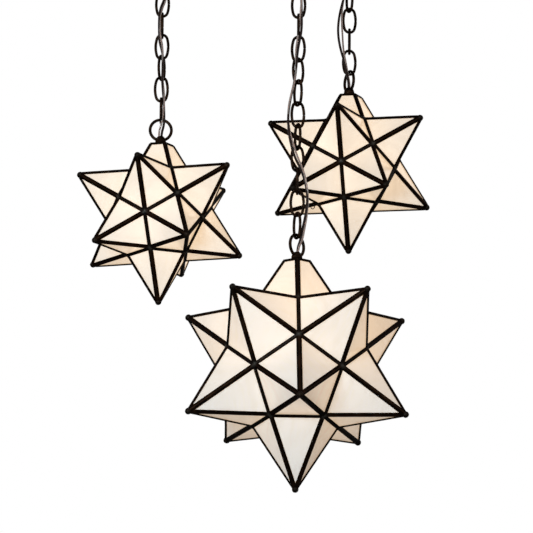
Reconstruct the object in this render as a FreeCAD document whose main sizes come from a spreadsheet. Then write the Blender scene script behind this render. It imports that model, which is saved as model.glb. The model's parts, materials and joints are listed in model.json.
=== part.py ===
import FreeCAD, Part
import math
import os
import Sketcher

# A ceiling light of three twelve-pointed glass stars, each on its own chain from one round canopy.
# Origin: centre of the mounting plane on the ceiling. +Z is up. Millimetres.

Vector = FreeCAD.Vector
doc = FreeCAD.newDocument("star_pendant_light")
UP = Vector(0, 0, 1)

# ---------------------------------------------------------------- driving dimensions

DRIVING = [
    ("pendant_circle", 161.6, "radius of the circle that the three chains hang on"),
    ("canopy_radius", 203.0, "outside radius of the ceiling canopy"),
    ("canopy_depth", 28.0, "height of the canopy below the ceiling"),
    ("canopy_sheet", 1.2, "thickness of the canopy's sheet"),
    ("canopy_edge", 9.0, "width of the bevel round the canopy's face"),
    ("bar_length", 118.0, "length of the crossbar"),
    ("bar_width", 20.0, "width of the crossbar"),
    ("bar_sheet", 2.0, "thickness of the crossbar"),
    ("box_spacing", 88.9, "spacing of the ceiling box's screws"),
    ("box_slot_length", 12.0, "end to end length of a slot for a box screw"),
    ("box_hole_radius", 2.3, "half width of a slot for a box screw"),
    ("stud_spacing", 54.0, "spacing of the canopy's studs"),
    ("stud_radius", 2.0, "radius of a canopy stud"),
    ("stud_nut_width", 7.9, "width across flats of a stud's nut"),
    ("stud_nut_height", 3.2, "height of a stud's nut"),
    ("cap_nut_radius", 6.5, "radius of a cap nut"),
    ("cap_nut_height", 10.0, "height of a cap nut"),
    ("link_length", 38.2, "outside length of a chain link"),
    ("link_width", 22.2, "outside width of a chain link"),
    ("link_wire", 3.05, "wire diameter of a chain link"),
    ("link_split", 0.6, "gap where a link's wire ends meet"),
    ("link_play", 0.1, "clearance between links that hang in each other"),
    ("loop_radius", 14.0, "outside radius of a canopy loop"),
    ("loop_wire", 4.0, "wire diameter of a canopy loop"),
    ("loop_collar_radius", 8.0, "radius of a canopy loop's collar"),
    ("loop_collar_height", 9.0, "height of a canopy loop's collar"),
    ("ring_radius", 17.5, "outside radius of a star's hanging ring"),
    ("ring_wire", 4.3, "wire diameter of a star's hanging ring"),
    ("collar_radius", 8.0, "radius of the collar under a star's ring"),
    ("collar_height", 12.5, "height of the collar under a star's ring"),
    ("ring_lift", 4.4, "height of a ring's lowest point above the star's top plate"),
    ("nipple_radius", 4.85, "outside radius of the threaded tubes"),
    ("nipple_bore", 3.0, "bore radius of the threaded tubes"),
    ("thread_play", 0.05, "radial clearance at the threads"),
    ("nut_width", 15.0, "width across flats of the lock nuts"),
    ("nut_height", 3.5, "height of the lock nuts"),
    ("plate_sheet", 1.6, "thickness of a star's top plate"),
    ("plate_overhang", 2.0, "overhang of the top plate past the cut point"),
    ("small_star_radius", 127.5, "centre to tip of a small star"),
    ("large_star_radius", 174.0, "centre to tip of the large star"),
    ("small_star_cut", 24.5, "height cut off a small star's top point"),
    ("large_star_cut", 26.5, "height cut off the large star's top point"),
    ("valley_share", 0.595, "distance of the valley corners as a share of the tip's"),
    ("came_sheet", 1.2, "thickness of the metal strips"),
    ("small_ridge_strip", 3.6, "width of a small star's strips along a ridge, each side"),
    ("large_ridge_strip", 4.0, "width of the large star's strips along a ridge, each side"),
    ("valley_strip", 1.4, "width of the strips along a valley, each side"),
    ("top_strip", 2.0, "width of the strips under the top plate"),
    ("bead_radius", 5.0, "radius of the solder bead on a point"),
    ("glass_sheet", 2.0, "thickness of the glass"),
    ("glass_play", 0.15, "clearance between the glass and the strips"),
    ("glass_ridge_margin", 1.5, "distance of the glass from a ridge"),
    ("glass_valley_margin", 0.3, "distance of the glass from a valley"),
    ("door_play", 0.25, "clearance round the door that opens"),
    ("hinge_radius", 1.9, "outside radius of the hinge's knuckles"),
    ("hinge_pin_radius", 0.8, "radius of the hinge pin"),
    ("hinge_pin_play", 0.1, "radial clearance of the hinge pin"),
    ("hinge_lift", 0.6, "clearance between the knuckles and the strips"),
    ("hinge_knuckle", 8.0, "length of a knuckle"),
    ("hinge_gap", 0.5, "gap between two knuckles"),
    ("hinge_leaf_width", 5.0, "width of a hinge leaf"),
    ("hinge_leaf_sheet", 0.8, "thickness of a hinge leaf"),
    ("pull_radius", 3.6, "outside radius of the door's pull loop"),
    ("pull_wire", 1.2, "wire diameter of the door's pull loop"),
    ("socket_radius", 17.0, "outside radius of the lamp socket"),
    ("socket_length", 38.0, "length of the socket's shell"),
    ("socket_wall", 2.2, "wall of the socket's shell"),
    ("socket_cap_height", 9.0, "height of the socket's cap"),
    ("socket_drop", 11.0, "depth of the socket's cap below the top plate"),
    ("bulb_base_radius", 13.2, "radius of the bulb's screw base"),
    ("bulb_base_length", 36.0, "length of the bulb's screw base"),
    ("bulb_radius", 30.0, "radius of the bulb's glass"),
    ("bulb_length", 84.0, "length of the bulb's glass"),
    ("cord_width", 3.4, "width of the lamp cord"),
    ("connector_radius", 5.0, "radius of a wire connector"),
    ("connector_length", 18.0, "length of a wire connector"),
]

sheet = doc.addObject("Spreadsheet::Sheet", "sizes")
for row, (alias, value, note) in enumerate(DRIVING, 1):
    sheet.set(f"A{row}", note)
    sheet.set(f"B{row}", str(value))
    sheet.setAlias(f"B{row}", alias)
doc.recompute()


def size(alias):
    """Value of a driving dimension."""
    return float(sheet.get(alias))


# ---------------------------------------------------------------- counts and choices

LINK_SIDES = 6
LINK_STEP = 45
RING_SIDES = 8
RING_STEP = 30
CORD_SIDES = 5
TURNED_SIDES = 12
BULB_SIDES = 12
PIN_SIDES = 8

# The chains' bearings round the canopy, the number of links, the turn of the star, which lower
# point is the door, and the turn of the links from the bottom one up, all in degrees. Zero is the
# front view's left to right line.
VIEW_TURN = -14.25
PENDANTS = {
    "front": {
        "bearing": -90,
        "links": 14,
        "star": "large",
        "star_turn": -138.5,
        "door": 2,
        "ring_turn": 52,
        "link_turns": [-62, 10, 90, 25, -67, 20, -57, 40, -15, 90, 0, 90, 0, 90],
    },
    "left": {
        "bearing": 150,
        "links": 7,
        "star": "small",
        "star_turn": -119.4,
        "door": 2,
        "ring_turn": 4,
        "link_turns": [90, 8, 64, -4, 90, 0, 90],
    },
    "right": {
        "bearing": 30,
        "links": 4,
        "star": "small",
        "star_turn": -113.7,
        "door": 3,
        "ring_turn": -66,
        "link_turns": [12, 90, 10, -64],
    },
}
LOOP_TURN = 0


def spot(name):
    """Point on the ceiling above a pendant."""
    bearing = math.radians(PENDANTS[name]["bearing"])
    return Vector(math.cos(bearing), math.sin(bearing), 0) * size("pendant_circle")


def turned(degrees):
    """Level unit vector at an angle from the front view's left to right line."""
    angle = math.radians(degrees + VIEW_TURN)
    return Vector(math.cos(angle), math.sin(angle), 0)


# ---------------------------------------------------------------- heights

link_inner = size("link_length") - 2 * size("link_wire")
link_pitch = link_inner - size("link_play")
loop_centre_z = -size("canopy_depth") - size("loop_collar_height") - size("loop_radius") + 1.5
loop_seat_z = loop_centre_z - size("loop_radius") + size("loop_wire")
ring_inner_radius = size("ring_radius") - size("ring_wire")


def link_centre_z(number):
    """Height of a link's centre; link 1 hangs in the canopy's loop."""
    return loop_seat_z + size("link_play") - link_inner / 2 - (number - 1) * link_pitch


def ring_centre_z(name):
    """Height of the centre of the ring that hangs in a chain's last link."""
    last = link_centre_z(PENDANTS[name]["links"])
    return last - link_inner / 2 + size("link_play") - ring_inner_radius


def star_size(name, alias):
    """A dimension that differs between the small and the large star."""
    return size(PENDANTS[name]["star"] + "_" + alias)


def plate_z(name):
    """Height of a star's cut top, under its top plate."""
    return ring_centre_z(name) - size("ring_radius") - size("ring_lift") - size("plate_sheet")


def star_centre(name):
    """Centre of a star."""
    below_plate = star_size(name, "star_radius") - star_size(name, "star_cut")
    return spot(name) + UP * (plate_z(name) - below_plate)


# ---------------------------------------------------------------- shape helpers

def closed_polygon(points):
    """Flat face with the given corners."""
    return Part.Face(Part.makePolygon(list(points) + [points[0]]))


def solid_of(faces):
    """Solid closed by the given faces."""
    shell = Part.makeShell(faces)
    shell.sewShape()
    solid = Part.Solid(shell)
    if solid.Volume < 0:
        solid.reverse()
    return solid


def mitred_tube(points, radius, sides, start_side, loop=False):
    """Bar of polygonal section along straight runs, mitred where they meet."""
    count = len(points)
    runs = [(points[(k + 1) % count] - points[k]).normalize() for k in range(count)]
    if not loop:
        runs[-1] = runs[-2]
    first_cut = runs[0] if not loop else (runs[-1] + runs[0]).normalize()
    across = start_side
    other = runs[0].cross(across).normalize()
    section = []
    for k in range(sides):
        angle = 2 * math.pi * k / sides
        corner = points[0] + across * (radius * math.cos(angle)) + other * (radius * math.sin(angle))
        slide = (points[0] - corner).dot(first_cut) / runs[0].dot(first_cut)
        section.append(corner + runs[0] * slide)
    sections = [section]
    steps = count if loop else count - 1
    for k in range(steps):
        target = points[(k + 1) % count]
        following = runs[(k + 1) % count]
        cut = runs[k] if (not loop and k == steps - 1) else (runs[k] + following).normalize()
        moved = []
        for corner in sections[-1]:
            slide = (target - corner).dot(cut) / runs[k].dot(cut)
            moved.append(corner + runs[k] * slide)
        sections.append(moved)
    if loop:
        sections[-1] = sections[0]
    faces = []
    for near, far in zip(sections, sections[1:]):
        for k in range(sides):
            nxt = (k + 1) % sides
            faces.append(closed_polygon([near[k], near[nxt], far[nxt], far[k]]))
    if not loop:
        faces.append(closed_polygon(sections[0]))
        faces.append(closed_polygon(sections[-1]))
    return solid_of(faces)


def ring_points(centre, along, radius, step, start=0):
    """Corners of a level-standing ring drawn round a circle; along is its level direction."""
    reach = radius / math.cos(math.radians(step / 2))
    points = []
    for k in range(int(round(360 / step))):
        angle = math.radians(start + step * (k + 0.5))
        points.append(centre + along * (reach * math.cos(angle)) + UP * (reach * math.sin(angle)))
    return points


def inset(points, margins):
    """Corners of a flat outline moved inwards; margin k belongs to the edge after corner k."""
    count = len(points)
    normal = (points[1] - points[0]).cross(points[2] - points[1]).normalize()
    lines = []
    for k in range(count):
        along = (points[(k + 1) % count] - points[k]).normalize()
        lines.append((points[k] + normal.cross(along) * margins[k], along))
    corners = []
    for k in range(count):
        start, along = lines[k - 1]
        other, beside = lines[k]
        reach = (other - start).cross(beside).dot(normal) / along.cross(beside).dot(normal)
        corners.append(start + along * reach)
    return corners


def level_polygon(radius, height, sides):
    """Corners of a level many-sided outline about the upright axis."""
    corners = []
    for k in range(sides):
        angle = 2 * math.pi * k / sides
        corners.append(Vector(radius * math.cos(angle), radius * math.sin(angle), height))
    return corners


def lathe(outline, base, sides=TURNED_SIDES):
    """Turned solid with few faces; the closed outline holds radii and heights above the base."""
    faces = []
    for (radius, height), (next_radius, next_height) in zip(outline, outline[1:] + outline[:1]):
        if radius == 0 and next_radius == 0:
            continue
        if height == next_height and 0 in (radius, next_radius):
            faces.append(closed_polygon(level_polygon(max(radius, next_radius), height, sides)))
            continue
        low = level_polygon(radius, height, sides)
        high = level_polygon(next_radius, next_height, sides)
        for k in range(sides):
            nxt = (k + 1) % sides
            corners = [low[k], low[nxt], high[nxt], high[k]]
            if next_radius == 0:
                corners.pop()
            if radius == 0:
                corners.pop(0)
            faces.append(closed_polygon(corners))
    solid = solid_of(faces)
    solid.translate(base)
    return solid


def many_sided_bar(radius, height, base, sides=TURNED_SIDES):
    """Upright bar with few faces."""
    return lathe([(0, 0), (radius, 0), (radius, height), (0, height)], base, sides)


def slanted_bar(radius, length, middle, axis):
    """Small bar with few faces, centred on a point and lying along an axis."""
    bar = many_sided_bar(radius, length, Vector(), PIN_SIDES)
    bar.Placement = FreeCAD.Placement(middle - axis * (length / 2), FreeCAD.Rotation(UP, axis))
    return bar


def hexagon_nut(width, height, bore, base):
    """Six-sided nut standing on a base point."""
    body = many_sided_bar(width / math.sqrt(3), height, base, 6)
    return body.cut(many_sided_bar(bore, height + 2, base - UP))


parts = []


def add_feature(label, shape):
    """Sub-part with a shape worked out from the sheet."""
    feature = doc.addObject("Part::Feature", label)
    feature.Label = label
    feature.Shape = shape
    parts.append(feature)


def origin_plane(body, role):
    """One of a body's own base planes."""
    for item in body.Origin.OriginFeatures:
        if item.Role == role:
            return item
    raise ValueError(role)


def expression_value(text):
    """Value of an expression of the sheet's dimensions."""
    return float(sheet.evalExpression(text))


def bind_point(sketch, geometry, position, x_text, y_text):
    """Tie a sketch point to two expressions, measured from the sketch's origin."""
    for kind, text, axis in (("DistanceX", x_text, -2), ("DistanceY", y_text, -1)):
        value = expression_value(text)
        if abs(value) < 1e-9:
            sketch.addConstraint(Sketcher.Constraint("PointOnObject", geometry, position, axis))
            continue
        index = sketch.addConstraint(
            Sketcher.Constraint(kind, -1, 1, geometry, position, value)
        )
        sketch.setExpression(f"Constraints[{index}]", text)


def outline_sketch(body, name, plane, corners):
    """Closed outline of straight edges whose corners are tied to expressions."""
    sketch = body.newObject("Sketcher::SketchObject", name)
    sketch.AttachmentSupport = [(origin_plane(body, plane), "")]
    sketch.MapMode = "FlatFace"
    places = [(expression_value(x), expression_value(y)) for x, y in corners]
    for k, (x, y) in enumerate(places):
        end = places[(k + 1) % len(places)]
        sketch.addGeometry(Part.LineSegment(Vector(x, y, 0), Vector(end[0], end[1], 0)), False)
    for k in range(len(corners)):
        nxt = (k + 1) % len(corners)
        sketch.addConstraint(Sketcher.Constraint("Coincident", k, 2, nxt, 1))
    for k, (x_text, y_text) in enumerate(corners):
        bind_point(sketch, k, 1, x_text, y_text)
    return sketch


def turned_body(label, corners, base):
    """Round piece: an outline of radius and height turned about the upright axis."""
    body = doc.addObject("PartDesign::Body", label)
    body.Label = label
    sketch = outline_sketch(body, label + "_outline", "XZ_Plane", corners)
    turn = body.newObject("PartDesign::Revolution", label + "_turn")
    turn.Profile = sketch
    turn.ReferenceAxis = (sketch, ["V_Axis"])
    turn.Angle = 360
    body.Tip = turn
    body.Placement = FreeCAD.Placement(base, FreeCAD.Rotation())
    parts.append(body)
    return body


def round_holes(body, name, holes):
    """Round holes through a body; each is an x, a y and a radius expression."""
    sketch = body.newObject("Sketcher::SketchObject", name + "_places")
    sketch.AttachmentSupport = [(origin_plane(body, "XY_Plane"), "")]
    sketch.MapMode = "FlatFace"
    for k, (x_text, y_text, radius_text) in enumerate(holes):
        centre = Vector(expression_value(x_text), expression_value(y_text), 0)
        sketch.addGeometry(Part.Circle(centre, UP, expression_value(radius_text)), False)
        bind_point(sketch, k, 3, x_text, y_text)
        index = sketch.addConstraint(Sketcher.Constraint("Radius", k, expression_value(radius_text)))
        sketch.setExpression(f"Constraints[{index}]", radius_text)
    pocket = body.newObject("PartDesign::Pocket", name)
    pocket.Profile = sketch
    pocket.Type = "ThroughAll"
    pocket.Midplane = True
    body.Tip = pocket


# ---------------------------------------------------------------- canopy

def make_canopy():
    """Shallow round pan; its own origin is the middle of its lower face."""
    body = turned_body(
        "canopy_pan",
        [
            ("0", "0"),
            ("sizes.canopy_radius - sizes.canopy_edge", "0"),
            ("sizes.canopy_radius", "sizes.canopy_edge * 0.6"),
            ("sizes.canopy_radius", "sizes.canopy_depth"),
            ("sizes.canopy_radius - sizes.canopy_sheet", "sizes.canopy_depth"),
            ("sizes.canopy_radius - sizes.canopy_sheet", "sizes.canopy_edge * 0.7"),
            ("sizes.canopy_radius - sizes.canopy_edge", "sizes.canopy_sheet"),
            ("0", "sizes.canopy_sheet"),
        ],
        Vector(0, 0, -size("canopy_depth")),
    )
    holes = []
    for pendant in PENDANTS.values():
        holes.append((
            f"sizes.pendant_circle * cos({pendant['bearing']} deg)",
            f"sizes.pendant_circle * sin({pendant['bearing']} deg)",
            "sizes.nipple_radius + sizes.thread_play",
        ))
    for side in ("-", ""):
        holes.append((side + "sizes.stud_spacing / 2", "0", "sizes.stud_radius + sizes.thread_play * 4"))
    round_holes(body, "canopy_holes", holes)


def make_crossbar():
    """Flat steel bar against the ceiling box, with slots for the box screws."""
    bar = doc.addObject("Part::Box", "bar_blank")
    bar.setExpression("Length", "sizes.bar_length")
    bar.setExpression("Width", "sizes.bar_width")
    bar.setExpression("Height", "sizes.bar_sheet")
    bar.setExpression("Placement.Base.x", "-sizes.bar_length / 2")
    bar.setExpression("Placement.Base.y", "-sizes.bar_width / 2")
    cutters = []
    for side in (-1, 1):
        slot = doc.addObject("Part::Box", "slot_middle")
        slot.setExpression("Length", "sizes.box_slot_length - 2 * sizes.box_hole_radius")
        slot.setExpression("Width", "2 * sizes.box_hole_radius")
        slot.setExpression("Height", "sizes.bar_sheet")
        start = f"{side} * sizes.box_spacing / 2 - sizes.box_slot_length / 2 + sizes.box_hole_radius"
        slot.setExpression("Placement.Base.x", start)
        slot.setExpression("Placement.Base.y", "-sizes.box_hole_radius")
        cutters.append(slot)
        for end in (-1, 1):
            round_end = doc.addObject("Part::Cylinder", "slot_end")
            round_end.setExpression("Radius", "sizes.box_hole_radius")
            round_end.setExpression("Height", "sizes.bar_sheet")
            to_end = "(sizes.box_slot_length / 2 - sizes.box_hole_radius)"
            place = f"{side} * sizes.box_spacing / 2 + {end} * {to_end}"
            round_end.setExpression("Placement.Base.x", place)
            cutters.append(round_end)
        tapped = doc.addObject("Part::Prism", "stud_hole")
        tapped.Polygon = TURNED_SIDES
        tapped.setExpression("Circumradius", "sizes.stud_radius + sizes.thread_play")
        tapped.setExpression("Height", "sizes.bar_sheet")
        tapped.setExpression("Placement.Base.x", f"{side} * sizes.stud_spacing / 2")
        cutters.append(tapped)
    cutter = doc.addObject("Part::MultiFuse", "bar_cutter")
    cutter.Shapes = cutters
    crossbar = doc.addObject("Part::Cut", "crossbar")
    crossbar.Base = bar
    crossbar.Tool = cutter
    crossbar.Label = "crossbar"
    crossbar.setExpression("Placement.Base.z", "-sizes.bar_sheet")
    parts.append(crossbar)


def make_canopy_fasteners():
    """Two studs from the crossbar through the canopy, their nuts, and the cap nuts below."""
    studs = []
    nuts = []
    caps = []
    cap_bore = size("stud_radius") + size("thread_play")
    stud_length = size("canopy_depth") + size("cap_nut_height") * 0.6
    for side in (-1, 1):
        place = Vector(side * size("stud_spacing") / 2, 0, 0)
        studs.append(many_sided_bar(size("stud_radius"), stud_length, place - UP * stud_length))
        nut_base = place - UP * (size("bar_sheet") + size("stud_nut_height"))
        nuts.append(hexagon_nut(size("stud_nut_width"), size("stud_nut_height"), cap_bore, nut_base))
        radius = size("cap_nut_radius")
        height = size("cap_nut_height")
        outline = [
            (0, 0),
            (radius * 0.45, 0),
            (radius * 0.9, height * 0.3),
            (radius, height * 0.5),
            (radius, height),
            (0, height),
        ]
        cap = lathe(outline, place - UP * (size("canopy_depth") + height), 6)
        bore_depth = height * 0.7
        bore = many_sided_bar(cap_bore, bore_depth + 1, place - UP * (size("canopy_depth") + bore_depth))
        caps.append(cap.cut(bore))
    add_feature("canopy_studs", Part.makeCompound(studs))
    add_feature("stud_nuts", Part.makeCompound(nuts))
    add_feature("canopy_cap_nuts", Part.makeCompound(caps))


def make_canopy_loop(name):
    """Loop with a hollow threaded stem; returns the nut that holds it in the canopy."""
    place = spot(name)
    face_z = -size("canopy_depth")
    collar_height = size("loop_collar_height")
    collar_radius = size("loop_collar_radius")
    stem_height = size("canopy_sheet") + size("nut_height") + 1.5
    outline = [
        (size("nipple_bore"), 0),
        (collar_radius * 0.55, 0),
        (collar_radius, collar_height * 0.55),
        (collar_radius, collar_height),
        (size("nipple_radius"), collar_height),
        (size("nipple_radius"), collar_height + stem_height),
        (size("nipple_bore"), collar_height + stem_height),
    ]
    collar = lathe(outline, place + UP * (face_z - collar_height))
    centre = place + UP * loop_centre_z
    wire = size("loop_wire") / 2
    points = ring_points(centre, turned(LOOP_TURN), size("loop_radius") - wire, RING_STEP, RING_STEP / 2)
    ring = mitred_tube(points, wire, RING_SIDES, UP.cross(turned(LOOP_TURN)), loop=True)
    bore_base = centre + UP * (size("loop_radius") - 2 * size("loop_wire"))
    bore = many_sided_bar(size("nipple_bore"), 2 * size("loop_wire") + 1, bore_base)
    add_feature(f"{name}_canopy_loop", collar.fuse(ring.cut(bore)))
    nut_base = place + UP * (face_z + size("canopy_sheet"))
    bore_radius = size("nipple_radius") + size("thread_play")
    return hexagon_nut(size("nut_width"), size("nut_height"), bore_radius, nut_base)


# ---------------------------------------------------------------- chains

def link_solid():
    """One link standing upright in the XZ plane, its wire cut through in one side."""
    wire = size("link_wire") / 2
    bend = size("link_width") / 2 - wire
    leg = size("link_length") / 2 - wire - bend
    reach = bend / math.cos(math.radians(LINK_STEP / 2))
    corners = []
    for k in range(int(180 / LINK_STEP)):
        angle = math.radians(LINK_STEP * (k + 0.5))
        corners.append(Vector(reach * math.cos(angle), 0, leg + reach * math.sin(angle)))
    for k in range(int(180 / LINK_STEP)):
        angle = math.radians(180 + LINK_STEP * (k + 0.5))
        corners.append(Vector(reach * math.cos(angle), 0, -leg + reach * math.sin(angle)))
    half_split = size("link_split") / 2
    points = [Vector(bend, 0, half_split)] + corners + [Vector(bend, 0, -half_split)]
    return mitred_tube(points, wire, LINK_SIDES, Vector(0, 1, 0))


def make_chain(name):
    """Chain of one pendant: its top link, the links between and its bottom link."""
    pendant = PENDANTS[name]
    pattern = link_solid()
    links = []
    for number in range(1, pendant["links"] + 1):
        link = pattern.copy()
        turn = pendant["link_turns"][pendant["links"] - number] + VIEW_TURN
        link.rotate(Vector(), UP, turn)
        link.translate(spot(name) + UP * link_centre_z(number))
        links.append(link)
    add_feature(f"{name}_top_link", links[0])
    add_feature(f"{name}_chain", Part.makeCompound(links[1:-1]))
    add_feature(f"{name}_bottom_link", links[-1])


# ---------------------------------------------------------------- star geometry

def star_axes(turn):
    """Unit directions of the twelve points: top, five upper, five lower and bottom."""
    height = 1 / math.sqrt(5)
    reach = 2 / math.sqrt(5)
    axes = {"top": UP, "bottom": -UP}
    for k in range(5):
        upper = math.radians(turn + 72 * k)
        lower = math.radians(turn + 72 * k + 36)
        axes[f"upper_{k}"] = Vector(reach * math.cos(upper), reach * math.sin(upper), height)
        axes[f"lower_{k}"] = Vector(reach * math.cos(lower), reach * math.sin(lower), -height)
    return axes


def neighbours(axes, point):
    """The five points round a point, in order, seen from outside turning left."""
    axis = axes[point]
    near = [other for other in axes if other != point and axes[other].dot(axis) > 0]
    across = (axes[near[0]] - axis * axes[near[0]].dot(axis)).normalize()
    beside = axis.cross(across)
    return sorted(near, key=lambda other: math.atan2(axes[other].dot(beside), axes[other].dot(across)))


class Star:
    """Faces of one star, worked out from its tip radius and the share of its valleys."""

    def __init__(self, name):
        self.name = name
        self.radius = star_size(name, "star_radius")
        self.centre = star_centre(name)
        self.cut_z = plate_z(name) - self.centre.z
        self.turn = PENDANTS[name]["star_turn"]
        self.axes = star_axes(self.turn)
        self.ring_of = {point: neighbours(self.axes, point) for point in self.axes}
        self.door = f"lower_{PENDANTS[name]['door']}"
        self.ridge_strip = star_size(name, "ridge_strip")
        corners = self.face(self.door, 0, 1.0)
        self.face_distance = abs(corners[0].dot(self.normal(corners)))

    def valley_corner(self, point, first, second):
        """Corner where three points' bases meet."""
        total = self.axes[point] + self.axes[first] + self.axes[second]
        return total.normalize() * (self.radius * size("valley_share"))

    def face(self, point, k, scale):
        """Corners of face k of a point, about the star's centre: tip, then the valley corners.

        Face k lies beside the valley to neighbour k. The top point's faces end at the cut.
        """
        ring = self.ring_of[point]
        before = self.valley_corner(point, ring[k - 1], ring[k]) * scale
        after = self.valley_corner(point, ring[k], ring[(k + 1) % 5]) * scale
        tip = self.axes[point] * (self.radius * scale)
        if point != "top":
            return [tip, before, after]
        share_before = (tip.z - self.cut_z) / (tip.z - before.z)
        share_after = (tip.z - self.cut_z) / (tip.z - after.z)
        high_before = tip + (before - tip) * share_before
        high_after = tip + (after - tip) * share_after
        return [high_after, high_before, before, after]

    @staticmethod
    def normal(corners):
        """Outward unit normal of a face."""
        return (corners[1] - corners[0]).cross(corners[2] - corners[1]).normalize()

    def scale_at(self, depth):
        """Scale that moves every face inwards by a depth."""
        return 1 - depth / self.face_distance

    def margins(self, point, ridge, valley, top):
        """Margins for the edges of a face, in the order of its corners."""
        if point == "top":
            return [top, ridge, valley, ridge]
        return [ridge, valley, ridge]

    def window(self, point, k):
        """Opening in the strips of a face, at the outer surface."""
        margins = self.margins(point, self.ridge_strip, size("valley_strip"), size("top_strip"))
        return inset(self.face(point, k, 1.0), margins)

    def bead_layer(self, point, reach, below):
        """Five-sided layer of a point's solder bead, a distance below its tip."""
        axis = self.axes[point]
        layer = []
        for k in range(5):
            tip, before, _ = self.face(point, k, 1.0)
            sideways = (before - axis * before.dot(axis)).normalize()
            layer.append(tip - axis * below + sideways * reach)
        return layer

    def bead(self, point):
        """Solder bead on a point: its foot on the ridges, its widest layer and its flat end."""
        axis = self.axes[point]
        tip, before, _ = self.face(point, 0, 1.0)
        ridge = before - tip
        slope = (ridge - axis * ridge.dot(axis)).Length / abs(ridge.dot(axis))
        reach = size("bead_radius")
        foot_below = reach * 1.6
        layers = [
            self.bead_layer(point, foot_below * slope, foot_below),
            self.bead_layer(point, reach * 1.1, reach * 1.15),
            self.bead_layer(point, reach * 0.5, reach * 0.2),
        ]
        faces = [closed_polygon(layers[-1])]
        for low, high in zip(layers, layers[1:]):
            for k in range(5):
                faces.append(closed_polygon([low[k], low[(k + 1) % 5], high[(k + 1) % 5], high[k]]))
        return faces, layers[0]

    def lattice(self, points, rim_points):
        """Soldered strips over some points; rim_points are the neighbours left open."""
        scale = self.scale_at(size("came_sheet"))
        faces = []
        for point in points:
            if point != "top":
                bead_faces, foot = self.bead(point)
                faces += bead_faces
            for k in range(5):
                outer = self.face(point, k, 1.0)
                inner = self.face(point, k, scale)
                window = self.window(point, k)
                drop = self.normal(outer) * -size("came_sheet")
                window_inner = [corner + drop for corner in window]
                if point != "top":
                    outer = [foot[(k + 1) % 5], foot[k], outer[1], outer[2]]
                faces.append(closed_polygon(outer).cut(closed_polygon(window)).Faces[0])
                faces.append(closed_polygon(inner).cut(closed_polygon(window_inner)).Faces[0])
                for j in range(len(window)):
                    nxt = (j + 1) % len(window)
                    faces.append(closed_polygon([window[j], window[nxt], window_inner[nxt], window_inner[j]]))
                if point == "top":
                    faces.append(closed_polygon([outer[0], outer[1], inner[1], inner[0]]))
                if self.ring_of[point][k] in rim_points:
                    faces.append(closed_polygon([outer[-2], outer[-1], inner[-1], inner[-2]]))
        return solid_of(faces)

    def panes(self, points):
        """Glass panes behind the strips of some points."""
        depth = size("came_sheet") + size("glass_play")
        panes = []
        for point in points:
            for k in range(5):
                face = self.face(point, k, self.scale_at(depth))
                margins = self.margins(
                    point, size("glass_ridge_margin"), size("glass_valley_margin"), size("top_strip") / 2
                )
                outline = inset(face, margins)
                panes.append(closed_polygon(outline).extrude(self.normal(face) * -size("glass_sheet")))
        return panes

    def door_shift(self):
        """Outward move of the door that opens its clearance to the strips round it."""
        corner = self.valley_corner(self.door, self.ring_of[self.door][0], self.ring_of[self.door][1])
        edge_end = self.valley_corner(self.door, self.ring_of[self.door][1], self.ring_of[self.door][2])
        wall_normal = corner.cross(edge_end).normalize()
        lean = abs(wall_normal.dot(self.axes[self.door]))
        return self.axes[self.door] * (size("door_play") / lean)


class Hinge:
    """Hinge along the valley between the door and the point above it."""

    def __init__(self, star):
        self.star = star
        ring = star.ring_of[star.door]
        self.upper = star.door.replace("lower", "upper")
        k = ring.index(self.upper)
        corners = star.face(star.door, k, 1.0)
        start, end = corners[-2], corners[-1]
        self.along = (end - start).normalize()
        middle = (start + end) * 0.5
        self.outwards = (middle - self.along * middle.dot(self.along)).normalize()
        self.door_normal = star.normal(corners)
        fixed_ring = star.ring_of[self.upper]
        self.fixed_normal = star.normal(star.face(self.upper, fixed_ring.index(star.door), 1.0))
        lean = self.outwards.dot(self.fixed_normal)
        lift = (size("hinge_radius") + size("hinge_lift")) / lean
        self.axis_point = middle + self.outwards * lift
        self.knuckle = size("hinge_knuckle")
        self.gap = size("hinge_gap")

    def pull_corner(self):
        """Valley corner opposite the hinge."""
        ring = self.star.ring_of[self.star.door]
        k = ring.index(self.upper)
        return self.star.valley_corner(self.star.door, ring[(k + 2) % 5], ring[(k + 3) % 5])

    def barrel(self, offset, normal):
        """Knuckle and its leaf, centred at an offset along the hinge; normal is its face's."""
        length = self.knuckle
        base = self.axis_point + self.along * (offset - length / 2)
        knuckle = slanted_bar(size("hinge_radius"), length, self.axis_point + self.along * offset, self.along)
        away = self.away_from_axis(normal)
        sheet_top = size("hinge_leaf_sheet")
        sink = size("came_sheet") / 2
        depth = size("hinge_radius") + size("hinge_lift")
        foot = base - normal * depth
        near = foot - away * 0.2
        far = near + away * size("hinge_leaf_width")
        below = normal * sink
        above = normal * sheet_top
        leaf = closed_polygon([near - below, far - below, far + above, near + above]).extrude(self.along * length)
        web_width = size("hinge_radius") * 0.8
        web = closed_polygon([
            foot - below,
            foot + away * web_width - below,
            base + away * web_width,
            base,
        ]).extrude(self.along * length)
        return [knuckle, leaf, web]

    def away_from_axis(self, normal):
        """Direction in a face, square to the hinge, that leaves the valley."""
        across = normal.cross(self.along).normalize()
        return across if across.dot(self.outwards) > 0 else -across

    def bore(self):
        """Bore through all knuckles."""
        length = 3 * self.knuckle + 2 * self.gap + 2
        radius = size("hinge_pin_radius") + size("hinge_pin_play")
        return slanted_bar(radius, length, self.axis_point, self.along)

    def pin(self):
        """Hinge pin, flush with the outer knuckles."""
        length = 3 * self.knuckle + 2 * self.gap
        return slanted_bar(size("hinge_pin_radius"), length, self.axis_point, self.along)


def place_about(shape, centre):
    """Copy of a shape moved from the star's own centre to its place."""
    moved = shape.copy()
    moved.translate(centre)
    return moved


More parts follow.
